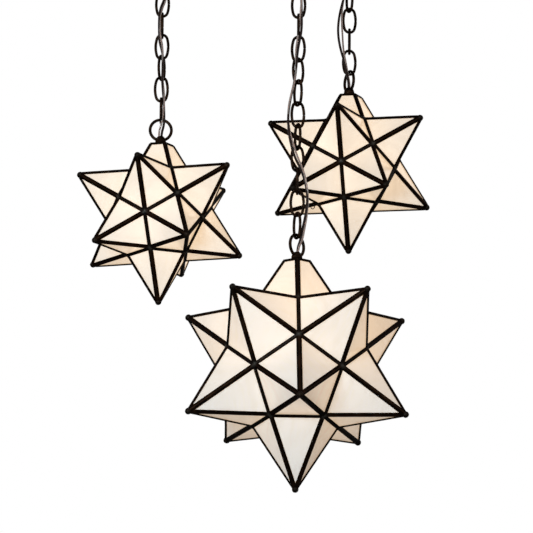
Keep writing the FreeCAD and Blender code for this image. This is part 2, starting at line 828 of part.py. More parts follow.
def make_star(name):
    """Strips, glass and door of one star."""
    star = Star(name)
    hinge = Hinge(star)
    shift = star.door_shift()
    fixed_points = [point for point in star.axes if point != star.door]
    frame = star.lattice(fixed_points, [star.door])
    step = hinge.knuckle + hinge.gap
    outer_knuckles = []
    for side in (-1, 1):
        outer_knuckles += hinge.barrel(side * step, hinge.fixed_normal)
    frame = frame.fuse(outer_knuckles).cut(hinge.bore())
    add_feature(f"{name}_star_frame", place_about(frame, star.centre))
    glass = Part.makeCompound(star.panes(fixed_points))
    add_feature(f"{name}_star_glass", place_about(glass, star.centre))

    door = star.lattice([star.door], star.ring_of[star.door])
    door.translate(shift)
    door = door.fuse(hinge.barrel(0, hinge.door_normal)).cut(hinge.bore())
    door = door.fuse(pull_loop(star, hinge, shift))
    add_feature(f"{name}_door_frame", place_about(door, star.centre))
    door_glass = Part.makeCompound(star.panes([star.door]))
    door_glass.translate(shift)
    add_feature(f"{name}_door_glass", place_about(door_glass, star.centre))
    add_feature(f"{name}_hinge_pin", place_about(hinge.pin(), star.centre))
    return star


def pull_loop(star, hinge, shift):
    """Small wire loop soldered to the door's corner opposite the hinge."""
    corner = hinge.pull_corner() + shift
    towards_tip = (star.axes[star.door] * star.radius - corner).normalize()
    outwards = Vector(corner).normalize()
    wire = size("pull_wire") / 2
    reach = size("pull_radius") - wire
    foot = corner + towards_tip * (star.ridge_strip * 1.2)
    centre = foot + outwards * (reach + wire * 0.4)
    across = outwards.cross(towards_tip).normalize()
    points = []
    for k in range(10):
        angle = 2 * math.pi * k / 10
        points.append(centre + outwards * (reach * math.cos(angle)) + across * (reach * math.sin(angle)))
    return mitred_tube(points, wire, LINK_SIDES, outwards.cross(across), loop=True)


# ---------------------------------------------------------------- star fittings

def make_top_plate(name, star):
    """Five-sided plate on the cut top point, with a hole for the threaded tube."""
    outer = [star.face("top", k, 1.0)[0] for k in range(5)]
    spread = [Vector(corner.x, corner.y, 0) for corner in outer]
    reach = spread[0].Length + size("plate_overhang")
    corners = [corner.normalize() * reach for corner in spread]
    plate = closed_polygon(corners).extrude(UP * size("plate_sheet"))
    hole = many_sided_bar(size("nipple_radius") + size("thread_play"), size("plate_sheet"), Vector())
    plate = plate.cut(hole)
    add_feature(f"{name}_top_plate", place_about(plate, spot(name) + UP * plate_z(name)))


def make_ring_collar(name):
    """Hanging ring with its domed collar, bored for the threaded tube and the cord."""
    base = spot(name) + UP * (plate_z(name) + size("plate_sheet"))
    radius = size("collar_radius")
    height = size("collar_height")
    thread_radius = size("nipple_radius") + size("thread_play")
    outline = [
        (thread_radius, 0),
        (radius, 0),
        (radius * 0.94, height * 0.55),
        (radius * 0.5, height),
        (size("nipple_bore"), height),
        (size("nipple_bore"), height * 0.5),
        (thread_radius, height * 0.5),
    ]
    collar = lathe(outline, base)
    along = turned(PENDANTS[name]["ring_turn"])
    centre = spot(name) + UP * ring_centre_z(name)
    wire = size("ring_wire") / 2
    points = ring_points(centre, along, size("ring_radius") - wire, RING_STEP, RING_STEP / 2)
    ring = mitred_tube(points, wire, RING_SIDES, UP.cross(along), loop=True)
    bore = many_sided_bar(size("nipple_bore"), height, base)
    thread = many_sided_bar(thread_radius, height * 0.5, base)
    add_feature(f"{name}_ring_collar", collar.fuse(ring.cut([bore, thread])))


def make_tube_and_nut(name):
    """Threaded tube through the top plate, and the lock nut under it."""
    plate_bottom = spot(name) + UP * plate_z(name)
    top = size("plate_sheet") + size("collar_height") * 0.45
    bottom = size("socket_drop") + size("socket_cap_height") * 0.5
    outline = [
        (size("nipple_bore"), 0),
        (size("nipple_radius"), 0),
        (size("nipple_radius"), top + bottom),
        (size("nipple_bore"), top + bottom),
    ]
    add_feature(f"{name}_threaded_tube", lathe(outline, plate_bottom - UP * bottom))
    nut_base = plate_bottom - UP * size("nut_height")
    bore_radius = size("nipple_radius") + size("thread_play")
    add_feature(f"{name}_lock_nut", hexagon_nut(size("nut_width"), size("nut_height"), bore_radius, nut_base))


def make_socket(name):
    """Lamp socket, screwed onto the threaded tube; returns the height of its mouth."""
    cap_top_z = plate_z(name) - size("socket_drop")
    mouth_z = cap_top_z - size("socket_cap_height") - size("socket_length")
    turned_body(
        f"{name}_socket",
        [
            ("sizes.socket_radius - sizes.socket_wall", "0"),
            ("sizes.socket_radius", "0"),
            ("sizes.socket_radius", "sizes.socket_length"),
            ("sizes.nipple_radius + sizes.socket_wall", "sizes.socket_length + sizes.socket_cap_height"),
            ("sizes.nipple_radius + sizes.thread_play", "sizes.socket_length + sizes.socket_cap_height"),
            ("sizes.nipple_radius + sizes.thread_play", "sizes.socket_length - sizes.socket_wall"),
            ("sizes.socket_radius - sizes.socket_wall", "sizes.socket_length - sizes.socket_wall"),
        ],
        spot(name) + UP * mouth_z,
    )
    return mouth_z


def make_bulb(name, socket_mouth_z):
    """Screw base seated in the socket, and the glass below it."""
    neck = size("bulb_base_radius")
    seat_z = socket_mouth_z + size("socket_length") - size("socket_wall")
    base_z = seat_z - size("bulb_base_length")
    place = spot(name)
    base_length = size("bulb_base_length")
    outline = [(0, 0), (neck, 0), (neck, base_length * 0.8), (neck * 0.6, base_length), (0, base_length)]
    add_feature(f"{name}_bulb_base", lathe(outline, place + UP * base_z, BULB_SIDES))
    radius = size("bulb_radius")
    length = size("bulb_length")
    ball_z = -(length - radius)
    outline = [(0, 0), (neck, 0)]
    for degrees in (35, 10, -15, -40, -65):
        angle = math.radians(degrees)
        outline.append((radius * math.cos(angle), ball_z + radius * math.sin(angle)))
    outline.append((0, -length))
    add_feature(f"{name}_bulb_glass", lathe(outline, place + UP * base_z, BULB_SIDES))


# ---------------------------------------------------------------- cords

# Route of each cord inside the canopy, from the wire connector to the chain: distance from the
# chain towards the canopy's middle, and height above the cord that lies on the canopy's floor.
CANOPY_ROUTE = [(40, 0), (28, 1), (17, 9), (6, 12), (0, 6)]
FLOOR_CLEARANCE = 0.3

# Route of each cord below the canopy: distance to the right of the chain and towards the front
# viewer, and height below the loop's seat. It ends in the star's ring, above the lamp socket. The
# numbers are for a chain of this wire and pitch, and spread and stretch with the chain.
ROUTE_WIRE = 3.05
ROUTE_PITCH = 32.0
CORD_ROUTES = {
    "front": [
        (0, 0, 14), (5, 6, -3), (6, 7, -35), (7, 6, -75), (6, 7, -120), (7, 6, -160), (4, 7, -195),
        (-1, 6.5, -224), (-10, 6, -246), (-14.5, 5.5, -272), (-13, 5.5, -298), (-6, 6, -320),
        (4, 6.5, -343), (11, 6, -366), (14, 5, -392), (12, 4, -418), (8, 2, -438), (6, 1, -452),
        (0, 0, -467),
    ],
    "left": [
        (0, 0, 14), (5, 6, -3), (5.5, 6.5, -35), (6, 6, -80), (5, 7, -125), (5.5, 6.5, -165),
        (5, 6, -195), (5, 5.5, -217), (4, 3.5, -231), (0, 0, -243),
    ],
    "right": [
        (0, 0, 14), (-4.5, 6, -2), (-10, 7, -18), (-15, 7, -42), (-16.5, 6.5, -68), (-13, 7, -94),
        (-7, 6.5, -115), (-4, 5.5, -130), (0, 0, -147),
    ],
}


def cord_corners(name):
    """Corners of a cord's route from the wire connector to the lamp socket."""
    place = spot(name)
    inwards = -Vector(place.x, place.y, 0).normalize()
    seat = place + UP * loop_seat_z
    viewer = turned(0).cross(UP)
    rest_z = size("canopy_sheet") - size("canopy_depth") + size("connector_radius") + FLOOR_CLEARANCE
    corners = [place + inwards * away + UP * (rest_z + height) for away, height in CANOPY_ROUTE]
    spread = size("link_wire") / ROUTE_WIRE
    stretch = link_pitch / ROUTE_PITCH
    for right, front, height in CORD_ROUTES[name]:
        beside = turned(0) * right + viewer * front
        corners.append(seat + beside * spread + UP * (height * stretch))
    corners.append(place + UP * (plate_z(name) - size("socket_drop")))
    return corners


def cord_path(corners):
    """Wire of straight runs joined by tangent arcs, and the radii of its arcs."""
    edges = []
    radii = []
    start = corners[0]
    for before, corner, after in zip(corners, corners[1:], corners[2:]):
        incoming = corner - before
        outgoing = after - corner
        turn = incoming.getAngle(outgoing)
        trim = 0.45 * min(incoming.Length, outgoing.Length)
        radii.append(trim / math.tan(turn / 2))
        enter = corner - incoming.normalize() * trim
        leave = corner + outgoing.normalize() * trim
        inner = (enter + leave) * 0.5 - corner
        centre_distance = math.hypot(radii[-1], trim)
        middle = corner + inner.normalize() * (centre_distance - radii[-1])
        edges.append(Part.LineSegment(start, enter).toShape())
        edges.append(Part.Arc(enter, middle, leave).toShape())
        start = leave
    edges.append(Part.LineSegment(start, corners[-1]).toShape())
    return Part.Wire(edges), radii


def make_cord(name):
    """Lamp cord woven down the chain; returns the wire connector on its upper end."""
    corners = cord_corners(name)
    path, radii = cord_path(corners)
    radius = size("cord_width") / 2
    start = path.Edges[0].Vertexes[0].Point
    direction = path.Edges[0].tangentAt(path.Edges[0].FirstParameter)
    across = direction.cross(UP).normalize()
    beside = direction.cross(across).normalize()
    outline = []
    for k in range(CORD_SIDES):
        angle = 2 * math.pi * (k + 0.5) / CORD_SIDES
        outline.append(start + across * (radius * math.cos(angle)) + beside * (radius * math.sin(angle)))
    section = Part.makePolygon(outline + [outline[0]])
    tube = path.makePipeShell([section], True, False)
    expected = closed_polygon(outline).Area * path.Length
    print(f"{name}_cord: length {path.Length:.1f}, radii {min(radii):.1f} to {max(radii):.1f}")
    print(f"{name}_cord: volume {tube.Volume:.0f} of {expected:.0f}")
    add_feature(f"{name}_cord", tube)
    cap_radius = size("connector_radius")
    cap_length = size("connector_length")
    outline = [(0, 0), (cap_radius, 0), (cap_radius * 0.55, cap_length), (0, cap_length)]
    connector = lathe(outline, Vector(), CORD_SIDES)
    connector.Placement = FreeCAD.Placement(start, FreeCAD.Rotation(UP, -direction))
    return connector


# ---------------------------------------------------------------- the whole light

make_canopy()
make_crossbar()
make_canopy_fasteners()
canopy_nuts = []
wire_connectors = []
for pendant_name in PENDANTS:
    canopy_nuts.append(make_canopy_loop(pendant_name))
    make_chain(pendant_name)
    make_ring_collar(pendant_name)
    made_star = make_star(pendant_name)
    make_top_plate(pendant_name, made_star)
    make_tube_and_nut(pendant_name)
    make_bulb(pendant_name, make_socket(pendant_name))
    wire_connectors.append(make_cord(pendant_name))
add_feature("canopy_nuts", Part.makeCompound(canopy_nuts))
add_feature("wire_connectors", Part.makeCompound(wire_connectors))
doc.recompute()

# ---------------------------------------------------------------- checks and export

for item in doc.Objects:
    if "Invalid" in item.State or "Error" in item.State:
        raise RuntimeError(f"{item.Label} failed: {item.State}")
for item in parts:
    if item.Shape.isNull() or not item.Shape.isValid():
        raise RuntimeError(f"{item.Label} has no valid shape")
    if not item.Shape.Solids:
        raise RuntimeError(f"{item.Label} holds no solid")

os.makedirs("parts", exist_ok=True)
for item in parts:
    item.Shape.exportStep(os.path.join("parts", item.Label + ".step"))
print(len(parts), "sub-parts written")
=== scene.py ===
"""Studio scene of a ceiling light: three leaded glass stars that hang on chains from one canopy."""

import json
import logging
import math
from dataclasses import dataclass, field
from enum import Enum
from typing import Callable, Optional, Sequence

import bmesh
import bpy
import numpy as np
from mathutils import Matrix, Vector


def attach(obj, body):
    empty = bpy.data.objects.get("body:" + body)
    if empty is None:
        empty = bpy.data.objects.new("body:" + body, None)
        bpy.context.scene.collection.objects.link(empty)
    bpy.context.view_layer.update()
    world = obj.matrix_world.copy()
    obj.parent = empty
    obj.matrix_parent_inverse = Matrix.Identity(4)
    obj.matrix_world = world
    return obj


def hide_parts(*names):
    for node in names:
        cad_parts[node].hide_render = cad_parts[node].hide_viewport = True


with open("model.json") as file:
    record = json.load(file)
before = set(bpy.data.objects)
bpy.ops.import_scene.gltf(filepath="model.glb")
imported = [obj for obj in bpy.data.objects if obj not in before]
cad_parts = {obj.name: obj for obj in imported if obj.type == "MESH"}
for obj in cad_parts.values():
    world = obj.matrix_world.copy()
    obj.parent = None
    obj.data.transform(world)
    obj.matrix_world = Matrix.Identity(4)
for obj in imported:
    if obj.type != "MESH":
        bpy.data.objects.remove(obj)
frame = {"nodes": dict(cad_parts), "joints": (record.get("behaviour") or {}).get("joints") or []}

LOG = logging.getLogger("star_light")

MM = 0.001
VIEW_TURN = -14.25
UP = np.array([0.0, 0.0, 1.0])
TINY = 1e-6
ROUNDED_SHARE = 0.45
MERGE_DISTANCE = 2e-6
DROP_RINGS, DROP_SIDES = 13, 20

Color = tuple[float, float, float]
Outline = Sequence[tuple[float, float]]
Form = Callable[[np.ndarray, float, float], np.ndarray]
Marks = Optional[dict[str, np.ndarray]]
Socket = bpy.types.NodeSocket
Sockets = bpy.types.bpy_prop_collection
Material = bpy.types.Material


# ---------------------------------------------------------------- small geometry helpers


def unit(vector: np.ndarray) -> np.ndarray:
    """Vector of length one in the same direction."""
    return vector / np.linalg.norm(vector)


def turned(degrees: float) -> np.ndarray:
    """Level unit vector at an angle from the front view's left to right line."""
    angle = math.radians(degrees + VIEW_TURN)
    return np.array([math.cos(angle), math.sin(angle), 0.0])


def rows_of_one(vectors: np.ndarray) -> np.ndarray:
    """Vectors of length one in the same directions, one in each row."""
    return vectors / np.linalg.norm(vectors, axis=1)[:, None]


RIGHT = turned(0)
VIEWER = np.cross(RIGHT, UP)


def run_along(line: np.ndarray) -> np.ndarray:
    """Distance of each point of a line from its start, along the line."""
    return np.concatenate([[0.0], np.cumsum(np.linalg.norm(np.diff(line, axis=0), axis=1))])


def wobble(points: np.ndarray, wave: float) -> np.ndarray:
    """Smooth unevenness of hand work at some points.

    Args:
        points: Places in millimetres, in an array whose last axis holds the coordinates.
        wave: Length of the unevenness in millimetres.

    Returns:
        A value from -1 to 1 for each point.
    """
    first = points @ np.array([0.91, 0.37, -0.53]) * (2 * math.pi / wave)
    second = points @ np.array([-0.28, 0.83, 0.61]) * (2 * math.pi / (wave * 0.63))
    third = points @ np.array([0.45, -0.66, 0.74]) * (2 * math.pi / (wave * 1.71))
    return (np.sin(first) + np.sin(second + 1.3) + np.sin(third + 2.1)) / 3


def inset(corners: np.ndarray, margins: Sequence[float]) -> np.ndarray:
    """Corners of a flat outline moved inwards.

    Args:
        corners: Outline's corners in order.
        margins: Distances; margin k belongs to the edge after corner k.

    Returns:
        The moved corners in the same order.
    """
    count = len(corners)
    normal = unit(np.cross(corners[1] - corners[0], corners[2] - corners[1]))
    lines = []
    for k, corner in enumerate(corners):
        along = unit(corners[(k + 1) % count] - corner)
        lines.append((corner + np.cross(normal, along) * margins[k], along))
    moved = []
    for k in range(count):
        start, along = lines[k - 1]
        other, beside = lines[k]
        reach = np.cross(other - start, beside) @ normal / (np.cross(along, beside) @ normal)
        moved.append(start + along * reach)
    return np.array(moved)


def rounded(profile: Outline, radius: float, steps: int = 4) -> list[tuple[float, float]]:
    """Open outline of a turned piece with its inner corners rounded off.

    Args:
        profile: Radii and heights in millimetres.
        radius: Radius of the rounding, cut down where an edge is short.
        steps: Number of parts of each rounding.

    Returns:
        The radii and heights of the finer outline.
    """
    points = [np.array(p, float) for p in profile]
    fine = [points[0]]
    for before, corner, after in zip(points, points[1:], points[2:]):
        into, out = before - corner, after - corner
        reach = min(radius, np.linalg.norm(into) * ROUNDED_SHARE, np.linalg.norm(out) * ROUNDED_SHARE)
        if reach < TINY:
            fine.append(corner)
            continue
        start, end = corner + unit(into) * reach, corner + unit(out) * reach
        for k in range(steps + 1):
            share = k / steps
            fine.append(start * (1 - share) ** 2 + corner * 2 * share * (1 - share) + end * share**2)
    fine.append(points[-1])
    return [(float(x), float(z)) for x, z in fine]


def turn_to(axis: np.ndarray) -> np.ndarray:
    """Rotation matrix that lays the upright direction along an axis."""
    quaternion = Vector((0, 0, 1)).rotation_difference(Vector(axis))
    return np.array(quaternion.to_matrix())


class Shell:
    """Surfaces in millimetres, gathered before they become one piece."""

    def __init__(self) -> None:
        """Start with nothing."""
        self.points: list[np.ndarray] = []
        self.faces: list[tuple[int, ...]] = []
        self.marks: dict[str, list[np.ndarray]] = {}
        self.count = 0

    def add_points(self, points: np.ndarray, marks: Marks = None) -> int:
        """Add points and what is marked on them.

        Args:
            points: Array of points in millimetres.
            marks: Values by name, one for each point.

        Returns:
            Number of the first new point.
        """
        flat = np.asarray(points, float).reshape(-1, 3)
        first = self.count
        self.points.append(flat)
        for name in set(self.marks) | set(marks or {}):
            rows = self.marks.setdefault(name, [np.zeros(first)] if first else [])
            if marks and name in marks:
                rows.append(np.asarray(marks[name], float).reshape(-1))
            else:
                rows.append(np.zeros(len(flat)))
        self.count += len(flat)
        return first

    def add_grid(
        self,
        grid: np.ndarray,
        marks: Marks = None,
        closed: bool = False,
        ring: bool = False,
        flip: bool = False,
    ) -> None:
        """Add a sheet of four-sided faces.

        Args:
            grid: Rows of points in millimetres.
            marks: Values by name on the same grid.
            closed: True if each row joins up with its own start.
            ring: True if the last row joins up with the first.
            flip: True to turn the faces over.
        """
        rows, columns = grid.shape[:2]
        first = self.add_points(grid, marks)
        for i in range(rows if ring else rows - 1):
            for j in range(columns if closed else columns - 1):
                a = first + i * columns + j
                b = first + (i + 1) % rows * columns + j
                c = first + (i + 1) % rows * columns + (j + 1) % columns
                d = first + i * columns + (j + 1) % columns
                self.faces.append((a, d, c, b) if flip else (a, b, c, d))

    def add_polygon(self, corners: np.ndarray, marks: Marks = None) -> None:
        """Add one flat face."""
        first = self.add_points(corners, marks)
        self.faces.append(tuple(range(first, first + len(corners))))

    def add_turned(
        self,
        profile: Outline,
        base: np.ndarray,
        segments: int = 48,
        form: Optional[Form] = None,
        turn: Optional[np.ndarray] = None,
    ) -> None:
        """Add a turned surface.

        Args:
            profile: Radii and heights above the base.
            base: Place of the profile's zero height on the axis.
            segments: Number of parts round the axis.
            form: Radius worked out from the angles, the profile's radius and its height.
            turn: Rotation matrix for an axis that isn't upright.
        """
        angles = np.arange(segments) * (2 * math.pi / segments)
        rows = []
        for radius, height in profile:
            reach = np.full(segments, radius) if form is None else form(angles, radius, height)
            rows.append(
                np.stack([reach * np.cos(angles), reach * np.sin(angles), np.full(segments, height)], 1)
            )
        grid = np.array(rows)
        if turn is not None:
            grid = grid @ turn.T
        self.add_grid(grid + base, closed=True, flip=True)

    def add_tube(
        self,
        path: np.ndarray,
        radius: float,
        sides: int = 16,
        ring: bool = False,
        bevel: float = 0.0,
        side: Optional[np.ndarray] = None,
    ) -> None:
        """Add a round wire along a path.

        Args:
            path: Points of the wire's middle line.
            radius: Half the wire's width.
            sides: Number of faces round the wire.
            ring: True if the wire closes on itself.
            bevel: Rounding of the two ends.
            side: Direction that the first face looks to, which is carried along the path.
        """
        points = np.asarray(path, float)
        if bevel > 0:
            first, last = points[0], points[-1]
            head, tail = unit(points[1] - first), unit(last - points[-2])
            points = np.vstack([first, first + head * bevel, points[1:-1], last - tail * bevel, last])
        widths = np.full(len(points), radius)
        widths[[0, -1]] -= bevel
        ahead = np.roll(points, -1, 0) - points
        behind = points - np.roll(points, 1, 0)
        if not ring:
            ahead[-1], behind[0] = behind[-1], ahead[0]
        tangents = rows_of_one(rows_of_one(ahead) + rows_of_one(behind))
        across = np.array([0.31, 0.2, 0.93]) if side is None else np.asarray(side, float)
        across = unit(across - tangents[0] * (across @ tangents[0]))
        angles = np.arange(sides) * (2 * math.pi / sides)
        rows = []
        for point, tangent, width in zip(points, tangents, widths):
            across = unit(across - tangent * (across @ tangent))
            beside = np.cross(tangent, across)
            rows.append(point + width * (np.outer(np.cos(angles), across) + np.outer(np.sin(angles), beside)))
        self.add_grid(np.array(rows), closed=True, ring=ring, flip=True)
        if not ring:
            self.add_polygon(rows[0][::-1])
            self.add_polygon(rows[-1])

    def add_block(self, outline: np.ndarray, run: np.ndarray) -> None:
        """Add a solid block: a flat outline carried along a run."""
        near, far = np.asarray(outline), np.asarray(outline) + run
        normal = np.cross(near[1] - near[0], near[2] - near[1])
        if normal @ run > 0:
            near, far = far, near
        self.add_polygon(near)
        self.add_polygon(far[::-1])
        for k in range(len(near)):
            nxt = (k + 1) % len(near)
            self.add_polygon(np.array([near[nxt], near[k], far[k], far[nxt]]))

    def add_lump(
        self, centre: np.ndarray, axis: np.ndarray, across: float, along: float, solder: float
    ) -> None:
        """Add a rounded drop of metal.

        Args:
            centre: Middle of the drop.
            axis: Direction of its height.
            across: Half its width.
            along: Half its height.
            solder: How bright the bare metal shows on it, from 0 to 1.
        """
        heights = np.linspace(-math.pi / 2, math.pi / 2, DROP_RINGS)
        angles = np.arange(DROP_SIDES) * (2 * math.pi / DROP_SIDES)
        ball = np.stack([
            np.outer(np.cos(heights), np.cos(angles)) * across,
            np.outer(np.cos(heights), np.sin(angles)) * across,
            np.outer(np.sin(heights), np.ones(DROP_SIDES)) * along,
        ], -1)
        ball *= 1 + 0.05 * wobble(ball + centre, across * 2.2)[..., None]
        grid = ball @ turn_to(axis).T + centre
        self.add_grid(grid, {"solder": np.full(grid.shape[:2], solder)}, closed=True, flip=True)

    def piece(
        self,
        name: str,
        finish: Material,
        body: str,
        slot: str,
        nodes: Sequence[str] = (),
        angle: float = 32.0,
        bevel: float = 0.0,
    ) -> bpy.types.Object:
        """slot: Material slot of the record; not used.
            nodes: CAD nodes that it stands for.
            angle: Largest angle in degrees over which the surface looks smooth.
            bevel: Width of the rounding of its edges, in millimetres.

        Returns:
            The new object.
        """
        mesh = bpy.data.meshes.new(name)
        mesh.from_pydata((np.vstack(self.points) * MM).tolist(), [], self.faces)
        for mark, rows in self.marks.items():
            layer = mesh.attributes.new(mark, "FLOAT", "POINT")
            layer.data.foreach_set("value", np.concatenate(rows).astype(np.float32))
        work = bmesh.new()
        work.from_mesh(mesh)
        bmesh.ops.remove_doubles(work, verts=work.verts, dist=MERGE_DISTANCE)
        work.to_mesh(mesh)
        work.free()
        mesh.polygons.foreach_set("use_smooth", [True] * len(mesh.polygons))
        mesh.set_sharp_from_angle(angle=math.radians(angle))
        mesh.materials.append(finish)
        made = bpy.data.objects.new(name, mesh)
        bpy.context.scene.collection.objects.link(made)
        if bevel > 0:
            edges = made.modifiers.new("soft_edges", "BEVEL")
            edges.width = bevel * MM
            edges.segments = 2
            edges.limit_method = "ANGLE"
            edges.angle_limit = math.radians(40)
        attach(made, body)
        if nodes:
            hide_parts(*nodes)
        LOG.info("%s: %d faces on %s", name, len(mesh.polygons), body)
        return made


# ---------------------------------------------------------------- node tools and shared effects


GRAIN_SPREAD = (0.3, 0.7)
FLOAT, VECTOR, COLOR = "NodeSocketFloat", "NodeSocketVector", "NodeSocketColor"


class Nodes:
    """Adds and links the nodes of one tree."""

    def __init__(self, tree: bpy.types.NodeTree) -> None:
        """Work on a node tree."""
        self.tree = tree

    def add(self, kind: str, **values: object) -> bpy.types.Node:
        """Add a node.

        Args:
            kind: Blender's name of the node type.
            **values: Properties of the node.

        Returns:
            The new node.
        """
        node = self.tree.nodes.new(kind)
        for key, value in values.items():
            setattr(node, key, value)
        return node

    def link(self, source: Socket, target: Socket) -> None:
        """Join an output to an input."""
        self.tree.links.new(source, target)

    def put(self, socket: Socket, value: object) -> None:
        """Give an input an output, a number, a vector or a colour.

        Args:
            socket: The input.
            value: What it gets; a colour has three parts.
        """
        if isinstance(value, Socket):
            self.link(value, socket)
        elif isinstance(value, tuple) and socket.type == "RGBA":
            socket.default_value = (*value, 1.0)
        else:
            socket.default_value = value

    def math(self, operation: str, first: object, second: object = 0.0) -> Socket:
        """Add a sum of two numbers or outputs and return its output."""
        node = self.add("ShaderNodeMath", operation=operation)
        self.put(node.inputs[0], first)
        self.put(node.inputs[1], second)
        return node.outputs[0]

    def blend(self, first: Socket, second: Socket, share: float) -> Socket:
        """Add two outputs, the first by its share and the second by the rest."""
        rest = self.math("MULTIPLY", second, 1.0 - share)
        return self.math("ADD", self.math("MULTIPLY", first, share), rest)

    def noise(self, place: Socket, scale: object, detail: float, distortion: float = 0.0) -> Socket:
        """Add a noise texture and return its value output."""
        node = self.add("ShaderNodeTexNoise")
        values = {"Vector": place, "Scale": scale, "Detail": detail, "Distortion": distortion}
        for name, value in values.items():
            self.put(node.inputs[name], value)
        return node.outputs[0]

    def range(self, value: Socket, low: float, high: float, to_low: float, to_high: float) -> Socket:
        """Add a smooth change of range and return its output."""
        node = self.add("ShaderNodeMapRange", interpolation_type="SMOOTHSTEP")
        values = {"Value": value, "From Min": low, "From Max": high, "To Min": to_low, "To Max": to_high}
        for name, number in values.items():
            self.put(node.inputs[name], number)
        return node.outputs[0]

    def mix(self, share: object, first: object, second: object) -> Socket:
        """Add a mix of two colours and return its output."""
        node = self.add("ShaderNodeMix", data_type="RGBA")
        for number, value in ((0, share), (6, first), (7, second)):
            self.put(node.inputs[number], value)
        return node.outputs[2]


class Effect:
    """A shader node group with named inputs and outputs, built once."""

    name = ""
    inputs: tuple[tuple[str, str, object], ...] = ()
    outputs: tuple[tuple[str, str], ...] = ()

    def group(self) -> bpy.types.NodeTree:
        """The effect's node group, made on its first use."""
        known = bpy.data.node_groups.get(self.name)
        if known:
            return known
        tree = bpy.data.node_groups.new(self.name, "ShaderNodeTree")
        for name, kind, value in self.inputs:
            socket = tree.interface.new_socket(name, in_out="INPUT", socket_type=kind)
            if value is not None:
                socket.default_value = value
        for name, kind in self.outputs:
            tree.interface.new_socket(name, in_out="OUTPUT", socket_type=kind)
        nodes = Nodes(tree)
        entry, leave = nodes.add("NodeGroupInput"), nodes.add("NodeGroupOutput")
        self.build(nodes, entry.outputs, leave.inputs)
        return tree

    def build(self, nodes: Nodes, entry: Sockets, leave: Sockets) -> None:
        """Fill the group in; each effect has its own."""
        raise NotImplementedError

    def place(self, nodes: Nodes, **values: object) -> bpy.types.Node:
        """Put the group into a material.

        Args:
            nodes: The material's nodes.
            **values: Numbers, vectors, colours or outputs for the group's inputs.

        Returns:
            The group's node.
        """
        node = nodes.add("ShaderNodeGroup")
        node.node_tree = self.group()
        for key, value in values.items():
            nodes.put(node.inputs[key], value)
        return node


class PatinaEffect(Effect):
    """Cloudy dark patina over metal, with warm patches: random clouds, and rubbed folds that are partly wear
    and partly a painted highlight.
    """

    name = "cloudy_patina"
    inputs = (
        ("Place", VECTOR, None),
        ("Scale", FLOAT, 60.0),
        ("Deep", COLOR, None),
        ("Warm", COLOR, None),
        ("Rubbed", FLOAT, 0.0),
    )
    outputs = (("Color", COLOR), ("Roughness", FLOAT), ("Height", FLOAT))
    fineness = 9.0
    cloud_edges = (0.45, 0.72)
    cloud_share = 0.75
    broken_edges = (0.3, 0.62)
    least_rubbed_sheen = 0.25
    rough_edges = (0.25, 0.75)
    roughness = (0.34, 0.56)

    def build(self, nodes: Nodes, entry: Sockets, leave: Sockets) -> None:
        """Mix two metal tones by clouds and by the rubbed mark, which is wear plus a painted highlight along
        the folds.
        """
        clouds = nodes.noise(entry["Place"], entry["Scale"], 5.0, 0.6)
        fine = nodes.noise(entry["Place"], nodes.math("MULTIPLY", entry["Scale"], self.fineness), 3.0)
        patches = nodes.range(clouds, *self.cloud_edges, 0.0, self.cloud_share)
        worn_sheen = nodes.range(fine, *self.broken_edges, self.least_rubbed_sheen, 1.0)
        # The rubbed mark lightens the metal along ridge folds: partly wear, partly a painted highlight that
        # stands in for the fold catching light.
        broken = nodes.math("MULTIPLY", entry["Rubbed"], worn_sheen)
        share = nodes.math("MINIMUM", nodes.math("ADD", patches, broken), 1.0)
        nodes.link(nodes.mix(share, entry["Deep"], entry["Warm"]), leave["Color"])
        nodes.link(nodes.range(fine, *self.rough_edges, *self.roughness), leave["Roughness"])
        nodes.link(nodes.blend(clouds, fine, 0.6), leave["Height"])


class StreakEffect(Effect):
    """Wispy streaks of a rolled art glass, long in one direction."""

    name = "glass_streaks"
    inputs = (("Place", VECTOR, None), ("Tone", FLOAT, 0.0))
    outputs = (("Streak", FLOAT), ("Height", FLOAT))
    narrowing = (1.0, 3.4, 1.0)
    tone_share = 0.09
    streak_edges = (0.32, 0.70)

    def build(self, nodes: Nodes, entry: Sockets, leave: Sockets) -> None:
        """Stretch two noises along the pane's own direction."""
        stretch = nodes.add("ShaderNodeVectorMath", operation="MULTIPLY")
        stretch.inputs[1].default_value = self.narrowing
        nodes.link(entry["Place"], stretch.inputs[0])
        wisps = nodes.noise(stretch.outputs[0], 11.0, 4.0, 1.8)
        hairs = nodes.noise(stretch.outputs[0], 46.0, 3.0, 0.7)
        tone = nodes.math("MULTIPLY", entry["Tone"], self.tone_share)
        shifted = nodes.math("ADD", nodes.blend(wisps, hairs, 0.75), tone)
        nodes.link(nodes.range(shifted, *self.streak_edges, 0.0, 1.0), leave["Streak"])
        ripples = nodes.noise(entry["Place"], 70.0, 2.0, 0.4)
        nodes.link(nodes.blend(ripples, hairs, 0.7), leave["Height"])


